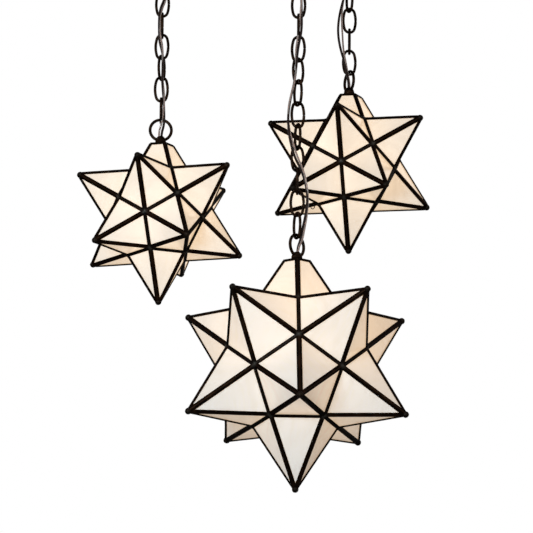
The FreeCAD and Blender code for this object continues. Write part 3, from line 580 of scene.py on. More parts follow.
class LampGlowEffect(Effect):
    """Light of a lamp that shines through the glass, weaker and warmer with distance."""

    name = "lamp_glow"
    inputs = (
        ("Place", VECTOR, None),
        ("Lamp", VECTOR, None),
        ("Reach", FLOAT, 0.1),
        ("Near", COLOR, None),
        ("Far", COLOR, None),
        ("Streak", FLOAT, 0.5),
    )
    outputs = (("Color", COLOR),)
    streak_light = 0.93

    def build(self, nodes: Nodes, entry: Sockets, leave: Sockets) -> None:
        """Fall off with the square of the distance from the lamp."""
        distance = nodes.add("ShaderNodeVectorMath", operation="DISTANCE")
        nodes.link(entry["Place"], distance.inputs[0])
        nodes.link(entry["Lamp"], distance.inputs[1])
        share = nodes.math("DIVIDE", distance.outputs["Value"], entry["Reach"])
        square = nodes.math("MULTIPLY", share, share)
        fall = nodes.math("DIVIDE", 1.0, nodes.math("ADD", 1.0, square))
        streaked = nodes.range(entry["Streak"], 0.0, 1.0, 1.0, self.streak_light)
        dimmed = nodes.math("MULTIPLY", fall, streaked)
        nodes.link(nodes.mix(dimmed, entry["Far"], entry["Near"]), leave["Color"])


class GrainEffect(Effect):
    """Fine grain of moulded, glazed or drawn surfaces."""

    name = "fine_grain"
    inputs = (
        ("Place", VECTOR, None),
        ("Scale", FLOAT, 200.0),
        ("Base", COLOR, None),
        ("Shade", COLOR, None),
    )
    outputs = (("Color", COLOR), ("Value", FLOAT), ("Height", FLOAT))
    breadth = 0.2

    def build(self, nodes: Nodes, entry: Sockets, leave: Sockets) -> None:
        """Mix two near tones by a broad and a fine noise."""
        broad = nodes.noise(entry["Place"], nodes.math("MULTIPLY", entry["Scale"], self.breadth), 3.0, 0.3)
        fine = nodes.noise(entry["Place"], entry["Scale"], 4.0)
        share = nodes.range(broad, *GRAIN_SPREAD, 0.0, 1.0)
        nodes.link(nodes.mix(share, entry["Base"], entry["Shade"]), leave["Color"])
        nodes.link(fine, leave["Value"])
        nodes.link(nodes.blend(broad, fine, 0.5), leave["Height"])


PATINA = PatinaEffect()
STREAKS = StreakEffect()
LAMP_GLOW = LampGlowEffect()
GRAIN = GrainEffect()


# ---------------------------------------------------------------- finishes


class Surface:
    """A new material with its shader, its nodes and the place on the piece."""

    def __init__(self, name: str) -> None:
        """Make an empty material of that name."""
        self.material = bpy.data.materials.new(name)
        self.material.use_nodes = True
        self.nodes = Nodes(self.material.node_tree)
        self.shader = self.material.node_tree.nodes["Principled BSDF"]
        self.place = self.nodes.add("ShaderNodeTexCoord").outputs["Object"]

    def feed(self, output: Socket, name: str) -> None:
        """Join an output to one of the shader's inputs."""
        self.nodes.link(output, self.shader.inputs[name])

    def fix(self, **values: object) -> None:
        """Set plain numbers or colours on the shader; a _ in a name is a space."""
        for key, value in values.items():
            self.nodes.put(self.shader.inputs[key.replace("_", " ")], value)

    def bump(self, height: Socket, depth: float) -> None:
        """Give the surface relief; depth is in millimetres."""
        node = self.nodes.add("ShaderNodeBump")
        node.inputs["Distance"].default_value = depth * MM
        self.nodes.link(height, node.inputs["Height"])
        self.feed(node.outputs["Normal"], "Normal")

    def mark(self, name: str, part: str = "Fac") -> Socket:
        """Value or vector of a mark on the piece."""
        return self.nodes.add("ShaderNodeAttribute", attribute_name=name).outputs[part]

    def grain(
        self, scale: float, base: Color, shade: Color, rough: tuple[float, float], relief: float
    ) -> None:
        """Give the surface the fine grain.

        Args:
            scale: How fine it is.
            base: Main colour.
            shade: Colour of the broad patches.
            rough: Least and greatest roughness.
            relief: Its depth in millimetres.
        """
        grain = GRAIN.place(self.nodes, Place=self.place, Scale=scale, Base=base, Shade=shade)
        self.feed(grain.outputs["Color"], "Base Color")
        self.feed(self.nodes.range(grain.outputs["Value"], *GRAIN_SPREAD, *rough), "Roughness")
        self.bump(grain.outputs["Height"], relief)


WARM_TINT = (1.0, 0.8, 0.65)
COAT_ROUGHNESS = 0.08


@dataclass(frozen=True)
class Bronze:
    """Aged bronze patina; edge is how bright it looks at a grazing angle."""

    name: str
    deep: Color
    warm: Color
    solder: Color
    scale: float = 55.0
    metallic: float = 0.9
    edge: float = 0.6
    relief: float = 0.12

    def make(self) -> Material:
        """The material, with lighter rubbed folds (wear plus a painted highlight along the ridges) and
        brighter solder where the piece is marked.
        """
        surface = Surface(self.name)
        patina = PATINA.place(
            surface.nodes,
            Place=surface.place,
            Scale=self.scale,
            Deep=self.deep,
            Warm=self.warm,
            Rubbed=surface.mark("rubbed"),
        )
        color = surface.nodes.mix(surface.mark("solder"), patina.outputs["Color"], self.solder)
        surface.feed(color, "Base Color")
        surface.feed(patina.outputs["Roughness"], "Roughness")
        surface.bump(patina.outputs["Height"], self.relief)
        tint = tuple(self.edge * part for part in WARM_TINT)
        surface.fix(Metallic=self.metallic, Specular_IOR_Level=0.3, Specular_Tint=tint)
        return surface.material


@dataclass(frozen=True)
class OpalGlass:
    """Streaky opal glass, lit from inside by the star's lamp."""

    name: str
    lamp: tuple[float, float, float]
    reach: float
    pale: Color
    smoky: Color
    near: Color
    far: Color
    strength: float

    def make(self) -> Material:
        """The material for the panes of one star."""
        surface = Surface(self.name)
        place = surface.mark("pane_place", "Vector")
        streaks = STREAKS.place(surface.nodes, Place=place, Tone=surface.mark("pane_tone"))
        streak = streaks.outputs["Streak"]
        glow = LAMP_GLOW.place(
            surface.nodes,
            Place=surface.place,
            Lamp=self.lamp,
            Reach=self.reach,
            Near=self.near,
            Far=self.far,
            Streak=streak,
        )
        surface.feed(surface.nodes.mix(streak, self.pale, self.smoky), "Base Color")
        surface.feed(glow.outputs["Color"], "Emission Color")
        surface.feed(surface.nodes.range(streak, 0.0, 1.0, 0.16, 0.26), "Roughness")
        surface.bump(streaks.outputs["Height"], 0.25)
        surface.fix(Emission_Strength=self.strength, IOR=1.5, Specular_IOR_Level=0.35)
        return surface.material


@dataclass(frozen=True)
class Grained:
    """Plain finish with a fine grain: plated steel, porcelain, plastic, copper or insulation."""

    name: str
    base: Color
    shade: Color
    scale: float
    rough: tuple[float, float]
    relief: float
    metallic: float = 0.0
    coat: float = 0.0
    gloss: float = 0.5
    clear: float = 0.0
    index: float = 1.5

    def make(self) -> Material:
        """The material."""
        surface = Surface(self.name)
        surface.grain(self.scale, self.base, self.shade, self.rough, self.relief)
        surface.fix(Metallic=self.metallic, Specular_IOR_Level=self.gloss)
        if self.clear:
            surface.fix(Transmission_Weight=self.clear, IOR=self.index)
        else:
            surface.fix(Coat_Weight=self.coat, Coat_Roughness=COAT_ROUGHNESS)
        return surface.material


@dataclass(frozen=True)
class LitBulb:
    """Frosted glass of a lamp that is switched on."""

    name: str
    lamp: tuple[float, float, float]
    white: Color
    amber: Color
    strength: float

    def make(self) -> Material:
        """The material of one bulb."""
        surface = Surface(self.name)
        surface.grain(900.0, (0.94, 0.93, 0.9), (0.9, 0.88, 0.84), (0.35, 0.5), 0.03)
        glow = LAMP_GLOW.place(
            surface.nodes, Place=surface.place, Lamp=self.lamp, Reach=0.045, Near=self.white,
            Far=self.amber, Streak=0.5
        )
        surface.feed(glow.outputs["Color"], "Emission Color")
        surface.fix(Emission_Strength=self.strength)
        return surface.material


@dataclass(frozen=True)
class Finishes:
    """Every finish that more than one piece uses."""

    strips: Material
    chain: Material
    canopy: Material
    steel: Material
    brass: Material
    porcelain: Material
    dark_cover: Material
    clear_cover: Material
    copper: Material
    wire_nut: Material

    @classmethod
    def make(cls) -> "Finishes":
        """Make all of them."""
        strips = Bronze(
            name="star_strip_bronze",
            deep=(0.0045, 0.0022, 0.0013),
            warm=(0.022, 0.0105, 0.0055),
            solder=(0.05, 0.045, 0.038),
            edge=0.25,
        )
        chain = Bronze(
            name="chain_bronze",
            deep=(0.009, 0.005, 0.0034),
            warm=(0.05, 0.026, 0.014),
            solder=(0.06, 0.045, 0.03),
            scale=120.0,
            edge=0.35,
        )
        canopy = Bronze(
            name="canopy_bronze",
            deep=(0.012, 0.0072, 0.005),
            warm=(0.05, 0.027, 0.016),
            solder=(0.06, 0.045, 0.03),
            scale=26.0,
            edge=0.4,
            relief=0.08,
        )
        steel = Grained(
            "zinc_plated_steel", (0.55, 0.54, 0.51), (0.42, 0.41, 0.38), 420.0, (0.28, 0.45), 0.02,
            metallic=1.0
        )
        brass = Grained(
            "nickel_plated_brass", (0.66, 0.6, 0.48), (0.56, 0.49, 0.36), 380.0, (0.2, 0.36), 0.02,
            metallic=1.0
        )
        porcelain = Grained(
            "glazed_porcelain", (0.82, 0.8, 0.75), (0.76, 0.73, 0.66), 150.0, (0.12, 0.22), 0.04, coat=0.6
        )
        dark = Grained(
            "dark_insulation", (0.012, 0.005, 0.0035), (0.024, 0.01, 0.007), 320.0, (0.4, 0.55),
            0.05, gloss=0.12
        )
        clear = Grained(
            "clear_insulation", (0.62, 0.5, 0.44), (0.5, 0.38, 0.32), 260.0, (0.05, 0.16), 0.05,
            clear=0.55, index=1.46
        )
        copper = Grained(
            "stranded_copper", (0.62, 0.3, 0.2), (0.48, 0.21, 0.13), 500.0, (0.28, 0.42), 0.06, metallic=0.9
        )
        wire_nut = Grained("ribbed_plastic", (0.7, 0.2, 0.03), (0.6, 0.15, 0.02), 240.0, (0.36, 0.5), 0.05)
        kinds = (strips, chain, canopy, steel, brass, porcelain, dark, clear, copper, wire_nut)
        return cls(*(kind.make() for kind in kinds))


def refinish(node: str, finish: Material) -> None:
    """Give a CAD mesh that stays visible a finish.

    Args:
        node: Name of the CAD node.
        finish: Its only material.
    """
    materials = frame["nodes"][node].data.materials
    materials.clear()
    materials.append(finish)


# ---------------------------------------------------------------- sizes of the light


class StarSize(Enum):
    """The two sizes of star."""

    SMALL = "small"
    LARGE = "large"


class EdgeKind(Enum):
    """What an edge of a star's face is."""

    RIDGE = "ridge"
    VALLEY = "valley"
    CUT = "cut"
    RIM = "rim"


@dataclass(frozen=True)
class StarSizes:
    """Sizes that differ between the stars, in millimetres.

    The ridges would meet at the apex, past the drop.
    """

    radius: float
    apex: float
    cut: float
    ridge_strip: float


STAR_SIZES = {
    StarSize.SMALL: StarSizes(radius=127.5, apex=136.5, cut=24.5, ridge_strip=4.5),
    StarSize.LARGE: StarSizes(radius=174.0, apex=180.0, cut=26.5, ridge_strip=4.7),
}


@dataclass(frozen=True)
class ChainSizes:
    """Sizes of the links, loops and rings, in millimetres."""

    link_inside: float = 32.1
    link_width: float = 22.2
    link_wire: float = 4.0
    link_split: float = 0.6
    link_end_radius: float = 7.6
    link_play: float = 0.1
    loop_radius: float = 14.0
    loop_wire: float = 4.0
    loop_collar_radius: float = 8.0
    loop_collar_height: float = 9.0
    ring_radius: float = 17.5
    ring_wire: float = 4.3
    collar_radius: float = 8.0
    collar_height: float = 12.5
    ring_lift: float = 4.4
    plate_sheet: float = 1.6
    stem_radius: float = 4.85
    stem_bore: float = 3.0
    canopy_depth: float = 28.0
    canopy_sheet: float = 1.2
    nut_width: float = 15.0
    nut_height: float = 3.5

    @property
    def pitch(self) -> float:
        """Distance from one link to the next."""
        return self.link_inside - self.link_play

    @property
    def loop_centre(self) -> float:
        """Height of the canopy loops' centres."""
        return -self.canopy_depth - self.loop_collar_height - self.loop_radius + 1.5

    @property
    def seat(self) -> float:
        """Height at which the first link hangs in its loop."""
        return self.loop_centre - self.loop_radius + self.loop_wire

    def link_centre(self, number: int) -> float:
        """Height of a link's centre; link 1 is the top one."""
        return self.seat + self.link_play - self.link_inside / 2 - (number - 1) * self.pitch

    def ring_centre(self, links: int) -> float:
        """Height of the centre of the ring that hangs in the last link."""
        bottom = self.link_centre(links) - self.link_inside / 2 + self.link_play
        return bottom - (self.ring_radius - self.ring_wire)

    def plate(self, links: int) -> float:
        """Height of a star's cut top, under its top plate."""
        return self.ring_centre(links) - self.ring_radius - self.ring_lift - self.plate_sheet


CHAIN = ChainSizes()
PENDANT_CIRCLE = 161.6


@dataclass(frozen=True)
class PendantPlan:
    """What sets one pendant apart from the others."""

    name: str
    bearing: float
    size: StarSize
    star_turn: float
    door: int
    ring_turn: float
    link_turns: tuple[float, ...]
    route: tuple[tuple[float, float, float], ...]
    stray: tuple[tuple[float, float, float], ...]
    twist: float

    @property
    def links(self) -> int:
        """Number of links."""
        return len(self.link_turns)

    @property
    def spot(self) -> np.ndarray:
        """Point on the ceiling above the pendant."""
        bearing = math.radians(self.bearing)
        return np.array([math.cos(bearing), math.sin(bearing), 0.0]) * PENDANT_CIRCLE

    @property
    def star_centre(self) -> np.ndarray:
        """Centre of the star."""
        sizes = STAR_SIZES[self.size]
        return self.spot + UP * (CHAIN.plate(self.links) - sizes.radius + sizes.cut)


PENDANTS = (
    PendantPlan(
        name="front",
        bearing=-90,
        size=StarSize.LARGE,
        star_turn=-138.5,
        door=2,
        ring_turn=52,
        link_turns=(-62, 10, 90, 25, -67, 20, -57, 40, -15, 90, 0, 90, 0, 90),
        route=(
            (0, 0, 14), (5, 6, -3), (4.8, 7, -35), (4.4, 6.8, -75), (4.2, 7, -120), (4, 7, -150),
            (0.8, 7.4, -168),
            (-1.2, 7.4, -184), (-2, 7.2, -205), (-4.5, 6.8, -226), (-10, 6, -246), (-14.5, 5.5, -272),
            (-13, 5.5, -298), (-8, 6.2, -320), (-3, 7.2, -336), (4.6, 7, -352), (10, 6, -368), (14, 5, -392),
            (12, 4, -418), (8, 2, -438), (6, 1, -452), (0, 0, -467),
        ),
        stray=(
            (0.0, 0.0, 0.0), (0.3, -0.6, 0.6), (0.47, -2.6, 0.8), (0.62, 1.5, 0.6), (0.8, 2.6, 0.4),
            (0.93, 0.8, 0.2),
            (1.0, 0.0, 0.0),
        ),
        twist=120.0,
    ),
    PendantPlan(
        name="left",
        bearing=150,
        size=StarSize.SMALL,
        star_turn=-119.4,
        door=2,
        ring_turn=4,
        link_turns=(90, 8, 64, -4, 90, 0, 90),
        route=(
            (0, 0, 14), (5, 6, -3), (5, 6.5, -30), (2, 7.5, -44), (-2.5, 7.5, -56), (-3.9, 7, -68),
            (-3.9, 7, -92), (-3.7, 7.2, -106), (-1, 7.4, -117), (1.2, 7.2, -128), (1.2, 7.2, -148),
            (1.4, 6.8, -165), (3, 6.5, -180), (4.4, 6, -195), (4.8, 5.5, -217), (4, 3.5, -231), (0, 0, -243),
        ),
        stray=(
            (0.0, 0.0, 0.0), (0.3, 0.3, 0.4), (0.37, 3.0, 0.8), (0.44, 0.2, 0.6), (0.5, 0.6, 0.6),
            (0.55, 3.6, 0.8),
            (0.62, 0.8, 0.8), (0.8, -0.6, 0.6), (0.9, -2.8, 0.4), (0.96, -1.4, 0.2), (1.0, 0.0, 0.0),
        ),
        twist=110.0,
    ),
    PendantPlan(
        name="right",
        bearing=30,
        size=StarSize.SMALL,
        star_turn=-113.7,
        door=3,
        ring_turn=-66,
        link_turns=(12, 90, 10, -64),
        route=(
            (0, 0, 14), (-4.5, 6, -2), (-10, 7, -18), (-15, 7, -42), (-16.5, 6.5, -68), (-13, 7, -94),
            (-7, 6.5, -115), (-4, 5.5, -130), (0, 0, -147),
        ),
        stray=(
            (0.0, 0.0, 0.0), (0.35, 1.5, 0.4), (0.6, 4.6, 0.6), (0.8, 3.0, 0.4), (0.93, 0.8, 0.2),
            (1.0, 0.0, 0.0),
        ),
        twist=105.0,
    ),
)


# ---------------------------------------------------------------- canopy and its fittings


def six_sided(flats: float, limit: float) -> Form:
    """Radius of a six-sided nut's outside.

    Args:
        flats: Width across the flats.
        limit: Profile radii above this are six-sided; smaller ones stay round.

    Returns:
        A function for Shell.add_turned.
    """

    def form(angles: np.ndarray, radius: float, _height: float) -> np.ndarray:
        """Round up to the flats, and cut flat beyond them."""
        if radius < limit:
            return np.full(len(angles), radius)
        within = (angles + math.pi / 6) % (math.pi / 3) - math.pi / 6
        return np.minimum(flats / 2 / np.cos(within), radius)

    return form


def add_nut(shell: Shell, flats: float, height: float, bore: float, base: np.ndarray) -> None:
    """Add a six-sided nut with chamfered corners.

    Args:
        shell: Where it is added.
        flats: Width across the flats.
        height: Height of the nut.
        bore: Radius of its hole.
        base: Middle of its lower face.
    """
    corner, chamfer = flats / math.sqrt(3), height * 0.14
    profile = [
        (bore, height), (bore, 0), (flats * 0.48, 0), (corner, chamfer), (corner, height - chamfer),
        (flats * 0.48, height), (bore, height),
    ]
    shell.add_turned(profile, base, 48, six_sided(flats, flats * 0.49))


def add_screw_thread(
    shell: Shell, radius: float, depth: float, pitch: float, length: float, base: np.ndarray,
    bore: float = 0.0
) -> None:
    """Add a threaded rod or tube.

    Args:
        shell: Where it is added.
        radius: Outside radius.
        depth: Depth of the thread.
        pitch: Rise of one turn.
        length: Length of the rod.
        base: Middle of its lower end.
        bore: Radius of the hole through it, or 0.
    """

    def form(angles: np.ndarray, reach: float, height: float) -> np.ndarray:
        """Radius that rises and falls along the screw's turns."""
        if reach < radius:
            return np.full(len(angles), reach)
        phase = (height / pitch - angles / (2 * math.pi)) % 1.0
        ends = min(1.0, height / pitch, (length - height) / pitch)
        return radius - depth * (1 - ends * (1 - np.abs(2 * phase - 1)))

    steps = max(4, int(length / pitch * 6))
    profile = [(bore, 0.0)] + [(radius, length * k / steps) for k in range(steps + 1)] + [(bore, length)]
    if bore > 0:
        profile.append((bore, 0.0))
    shell.add_turned(profile, base, 24, form)


@dataclass
class Canopy:
    """Round canopy on the ceiling with its crossbar, studs, nuts and chain loops."""

    finishes: Finishes
    radius: float = 203.0
    edge: float = 9.0
    stud_spacing: float = 54.0
    stud_radius: float = 2.0
    cap_nut_radius: float = 6.5
    cap_nut_height: float = 10.0
    bar_sheet: float = 2.0
    stud_nut_width: float = 7.9
    stud_nut_height: float = 3.2

    def build(self) -> None:
        """Make every piece that stays on the ceiling."""
        self.pan()
        self.studs()
        for plan in PENDANTS:
            self.loop(plan)
        nuts = Shell()
        for plan in PENDANTS:
            base = plan.spot + UP * (CHAIN.canopy_sheet - CHAIN.canopy_depth)
            add_nut(nuts, CHAIN.nut_width, CHAIN.nut_height, CHAIN.stem_radius, base)
        nuts.piece("canopy_lock_nuts", self.finishes.steel, "canopy", "plated_steel", ["canopy_nuts"])
        refinish("crossbar", self.finishes.steel)

    def pan(self) -> None:
        """The shallow dish, with a softly rolled edge."""
        depth, sheet = CHAIN.canopy_depth, CHAIN.canopy_sheet
        outside = rounded([
            (0.0, 0.0), (self.radius - self.edge - 12, 0.0), (self.radius - self.edge - 9, -0.8),
            (self.radius - self.edge, 0.0), (self.radius, self.edge * 0.6), (self.radius, depth),
        ], 3.0, 5)
        inside = rounded([
            (self.radius, depth), (self.radius - sheet, depth), (self.radius - sheet, self.edge * 0.7),
            (self.radius - self.edge, sheet), (0.0, sheet),
        ], 2.0, 4)
        shell = Shell()
        shell.add_turned(outside + inside[1:], -UP * depth, 128)
        shell.piece("canopy_shell", self.finishes.canopy, "canopy", "dark_bronze", ["canopy_pan"])

    def studs(self) -> None:
        """Two threaded studs, the nuts on the crossbar and the cap nuts below."""
        studs, nuts, caps = Shell(), Shell(), Shell()
        length = CHAIN.canopy_depth + self.cap_nut_height * 0.6
        height = self.cap_nut_height
        for side in (-1, 1):
            place = np.array([side * self.stud_spacing / 2, 0.0, 0.0])
            add_screw_thread(studs, self.stud_radius, 0.25, 0.8, length, place - UP * length)
            nut_base = place - UP * (self.bar_sheet + self.stud_nut_height)
            add_nut(nuts, self.stud_nut_width, self.stud_nut_height, self.stud_radius, nut_base)
            base = place - UP * (CHAIN.canopy_depth + height)
            flats = self.cap_nut_radius * math.sqrt(3)
            dome = rounded([(0.0, 0.0), (2.6, 0.15), (4.6, 1.8), (5.3, 4.2)], 1.6)
            outline = dome + [
                (5.5, 4.4), (self.cap_nut_radius, 5.2), (self.cap_nut_radius, height - 0.5), (5.6, height),
                (0.0, height),
            ]
            caps.add_turned(outline, base, 48, six_sided(flats, 5.65))
        studs.piece("canopy_studs_threaded", self.finishes.steel, "canopy", "plated_steel", ["canopy_studs"])
        nuts.piece("stud_nuts_plated", self.finishes.steel, "canopy", "plated_steel", ["stud_nuts"])
        caps.piece("cap_nuts_domed", self.finishes.chain, "canopy", "dark_bronze", ["canopy_cap_nuts"])

    def loop(self, plan: PendantPlan) -> None:
        """A closed loop with its collar and threaded stem."""
        shell = Shell()
        radius, height = CHAIN.loop_collar_radius, CHAIN.loop_collar_height
        bore = CHAIN.stem_bore
        base = plan.spot - UP * (CHAIN.canopy_depth + height)
        outline = rounded([
            (bore, height), (bore, 0.0), (radius * 0.55, 0.0), (radius * 0.8, height * 0.22),
            (radius, height * 0.55),
            (radius, height * 0.78), (radius * 0.86, height * 0.84), (radius * 0.98, height * 0.9),
            (radius, height),
            (bore, height),
        ], 1.0)
        shell.add_turned(outline, base, 40)
        stem = CHAIN.canopy_sheet + CHAIN.nut_height + 1.5
        add_screw_thread(shell, CHAIN.stem_radius, 0.35, 1.0, stem, base + UP * height, bore)
        centre = plan.spot + UP * CHAIN.loop_centre
        add_open_ring(shell, centre, RIGHT, CHAIN.loop_radius, CHAIN.loop_wire, 90.0, 17.0)
        shell.piece(
            f"{plan.name}_chain_loop", self.finishes.chain, "canopy", "dark_bronze",
            [f"{plan.name}_canopy_loop"]
        )


def add_open_ring(
    shell: Shell, centre: np.ndarray, along: np.ndarray, radius: float, wire: float, gap_at: float, gap: float
) -> None:
    """Add a standing wire ring whose ends run into a collar.

    Args:
        shell: Where it is added.
        centre: Centre of the ring.
        along: Its level direction.
        radius: Outside radius.
        wire: Diameter of the wire.
        gap_at: Angle of the collar, from the level direction upwards, in degrees.
        gap: Half the angle that the collar's bore takes up.
    """
    angles = np.radians(np.linspace(gap_at + gap, gap_at + 360 - gap, 65))
    reach = radius - wire / 2
    path = centre + np.outer(np.cos(angles), along) * reach + np.outer(np.sin(angles), UP) * reach
    shell.add_tube(path, wire / 2, 18, bevel=0.5, side=np.cross(UP, along))


# ---------------------------------------------------------------- chain and cord


@dataclass
class Chain:
    """The links of one pendant."""

    plan: PendantPlan
    finishes: Finishes
    bend_steps: int = 18
    side_steps: int = 6

    def link_path(self) -> np.ndarray:
        """Middle line of an oval link's wire, standing in the XZ plane, with its butt ends in one side."""
        across = (CHAIN.link_width - CHAIN.link_wire) / 2
        along = (CHAIN.link_inside + CHAIN.link_wire) / 2
        end = CHAIN.link_end_radius
        side = (end**2 - across**2 - (along - end) ** 2) / (2 * (end - across))
        join = math.atan2(along - end, side - across)
        gap = CHAIN.link_split / 2 / side
        turns = np.linspace(gap, join, self.side_steps)
        quarter = [(across - side + side * math.cos(t), side * math.sin(t)) for t in turns]
        for t in np.linspace(join, math.pi / 2, self.bend_steps // 2 + 1)[1:]:
            quarter.append((end * math.cos(t), along - end + end * math.sin(t)))
        upper = quarter + [(-x, z) for x, z in quarter[-2::-1]]
        path = upper + [(x, -z) for x, z in upper[::-1]]
        return np.array([(x, 0.0, z) for x, z in path])

    def add_link(self, shell: Shell, number: int) -> None:
        """Add one link in its place and with its turn."""
        turn = math.radians(self.plan.link_turns[self.plan.links - number] + VIEW_TURN)
        rotation = np.array(
            [[math.cos(turn), -math.sin(turn), 0], [math.sin(turn), math.cos(turn), 0], [0, 0, 1]]
        )
        path = self.link_path() @ rotation.T + self.plan.spot + UP * CHAIN.link_centre(number)
        shell.add_tube(path, CHAIN.link_wire / 2, 14, bevel=0.35, side=rotation @ np.array([0.0, 1.0, 0.0]))

    def build(self) -> None:
        """Make the top link, the links between and the bottom link."""
        name = self.plan.name
        for label, numbers in (
            ("top_link", [1]),
            ("chain", list(range(2, self.plan.links))),
            ("bottom_link", [self.plan.links]),
        ):
            shell = Shell()
            for number in numbers:
                self.add_link(shell, number)
            node = f"{name}_{label}"
            shell.piece(f"{node}_wire", self.finishes.chain, node, "dark_bronze", [node])


@dataclass
class Cord:
    """Two insulated wires that run down one chain, from a wire nut to the lamp socket."""

    plan: PendantPlan
    finishes: Finishes
    width: float = 3.4
    strand: float = 1.75
    clear_strand: float = 1.35
    core: float = 0.7
    dark_reach: float = 0.6
    clear_reach: float = 1.0
    stray_smoothing: int = 10
    nut_radius: float = 5.0
    nut_length: float = 18.0
    socket_drop: float = 11.0

    canopy_route: tuple[tuple[float, float], ...] = ((40, 0), (28, 1), (17, 9), (6, 12), (0, 6))
    floor_clearance: float = 0.3

    def control_points(self) -> list[np.ndarray]:
        """The route's points from the wire nut to the lamp socket, in millimetres."""
        place = self.plan.spot
        inwards = -unit(place)
        rest = CHAIN.canopy_sheet - CHAIN.canopy_depth + self.nut_radius + self.floor_clearance
        points = [place + inwards * away + UP * (rest + height) for away, height in self.canopy_route]
        seat = place + UP * CHAIN.seat
        for right, front, height in self.plan.route:
            points.append(seat + RIGHT * right + VIEWER * front + UP * height)
        points.append(place + UP * (CHAIN.plate(self.plan.links) - self.socket_drop))
        return points

    def middle_line(self) -> np.ndarray:
        """Points of the smooth route, read from its NURBS spline, in millimetres."""
        controls = self.control_points()
        curve = bpy.data.curves.new(f"{self.plan.name}_cord_route", "CURVE")
        curve.dimensions = "3D"
        curve.resolution_u = 10
        spline = curve.splines.new("NURBS")
        spline.points.add(len(controls) - 1)
        for point, place in zip(spline.points, controls):
            point.co = (*(place * MM), 1.0)
        spline.order_u = 3
        spline.use_endpoint_u = True
        holder = bpy.data.objects.new(curve.name, curve)
        mesh = bpy.data.meshes.new_from_object(holder)
        line = np.array([vertex.co for vertex in mesh.vertices]) / MM
        bpy.data.objects.remove(holder)
        bpy.data.meshes.remove(mesh)
        return line

    def offsets(self, line: np.ndarray, phase: float, reach: float) -> np.ndarray:
        """Middle line of a wire that winds slowly round the route.

        Args:
            line: The route.
            phase: Angle of the wire at its start, in radians.
            reach: Distance of the wire from the route.

        Returns:
            Points of the wire's middle line.
        """
        tangent = rows_of_one(np.gradient(line, axis=0))
        first = rows_of_one(RIGHT - tangent * (tangent @ RIGHT)[:, None])
        second = np.cross(tangent, first)
        angle = phase + 2 * math.pi * run_along(line) / self.plan.twist
        return line + reach * (np.cos(angle)[:, None] * first + np.sin(angle)[:, None] * second)

    def stray(self, line: np.ndarray) -> np.ndarray:
        """How far the clear wire strays from the dark one.

        Args:
            line: The route.

        Returns:
            The way from the route to the wire at each of its points.
        """
        run = run_along(line)
        share = run / run[-1]
        table = np.array(self.plan.stray)
        smooth = np.linspace(0, 1, len(line) * 2)
        out = []
        for column in (1, 2):
            values = np.interp(smooth, table[:, 0], table[:, column])
            kernel = np.hanning(2 * self.stray_smoothing + 1)
            padded = np.pad(values, self.stray_smoothing, mode="edge")
            out.append(np.interp(share, smooth, np.convolve(padded, kernel / kernel.sum(), mode="valid")))
        return np.outer(out[0], RIGHT) + np.outer(out[1], VIEWER)

    def build(self) -> None:
        name = self.plan.name
        line = self.middle_line()
        body, slot = f"{name}_chain", "cord_cover"
        dark = Shell()
        dark.add_tube(self.offsets(line, 0.0, self.dark_reach), self.strand, 14, bevel=0.2)
        dark_piece = dark.piece(
            f"{name}_cord_dark_wire", self.finishes.dark_cover, body, slot, [f"{name}_cord"]
        )
        route = self.offsets(line, math.pi, self.clear_reach) + self.stray(line)
        clear, copper = Shell(), Shell()
        clear.add_tube(route, self.clear_strand, 14, bevel=0.2)
        copper.add_tube(route, self.core, 10, bevel=0.1)
        clear_piece = clear.piece(f"{name}_cord_clear_wire", self.finishes.clear_cover, body, slot)
        copper_piece = copper.piece(f"{name}_cord_copper", self.finishes.copper, body, slot)

    def add_wire_nut(self, shell: Shell) -> None:
        """Add the ribbed wire nut on the cord's upper end."""
        points = self.control_points()
        axis = unit(points[0] - points[1])

        def form(angles: np.ndarray, radius: float, height: float) -> np.ndarray:
            """Radius with ribs that fade out towards the tip."""
            depth = 0.07 * (1 - height / self.nut_length) + 0.015
            return radius * (1 - depth * (0.5 - 0.5 * np.cos(angles * 12)))

        length, radius = self.nut_length, self.nut_radius
        outline = rounded([
            (radius * 0.62, 2.0), (radius * 0.7, 0.0), (radius, 0.0), (radius * 0.93, 6.0),
            (radius * 0.7, length - 4.0), (radius * 0.55, length), (0.0, length),
        ], 1.2)
        shell.add_turned([(0.0, 2.0)] + outline, points[0], 96, form, turn_to(axis))


# ---------------------------------------------------------------- stars


STRIP_LEVELS = np.array([0.0, 0.1, 0.24, 0.5, 0.8, 0.93, 1.0])


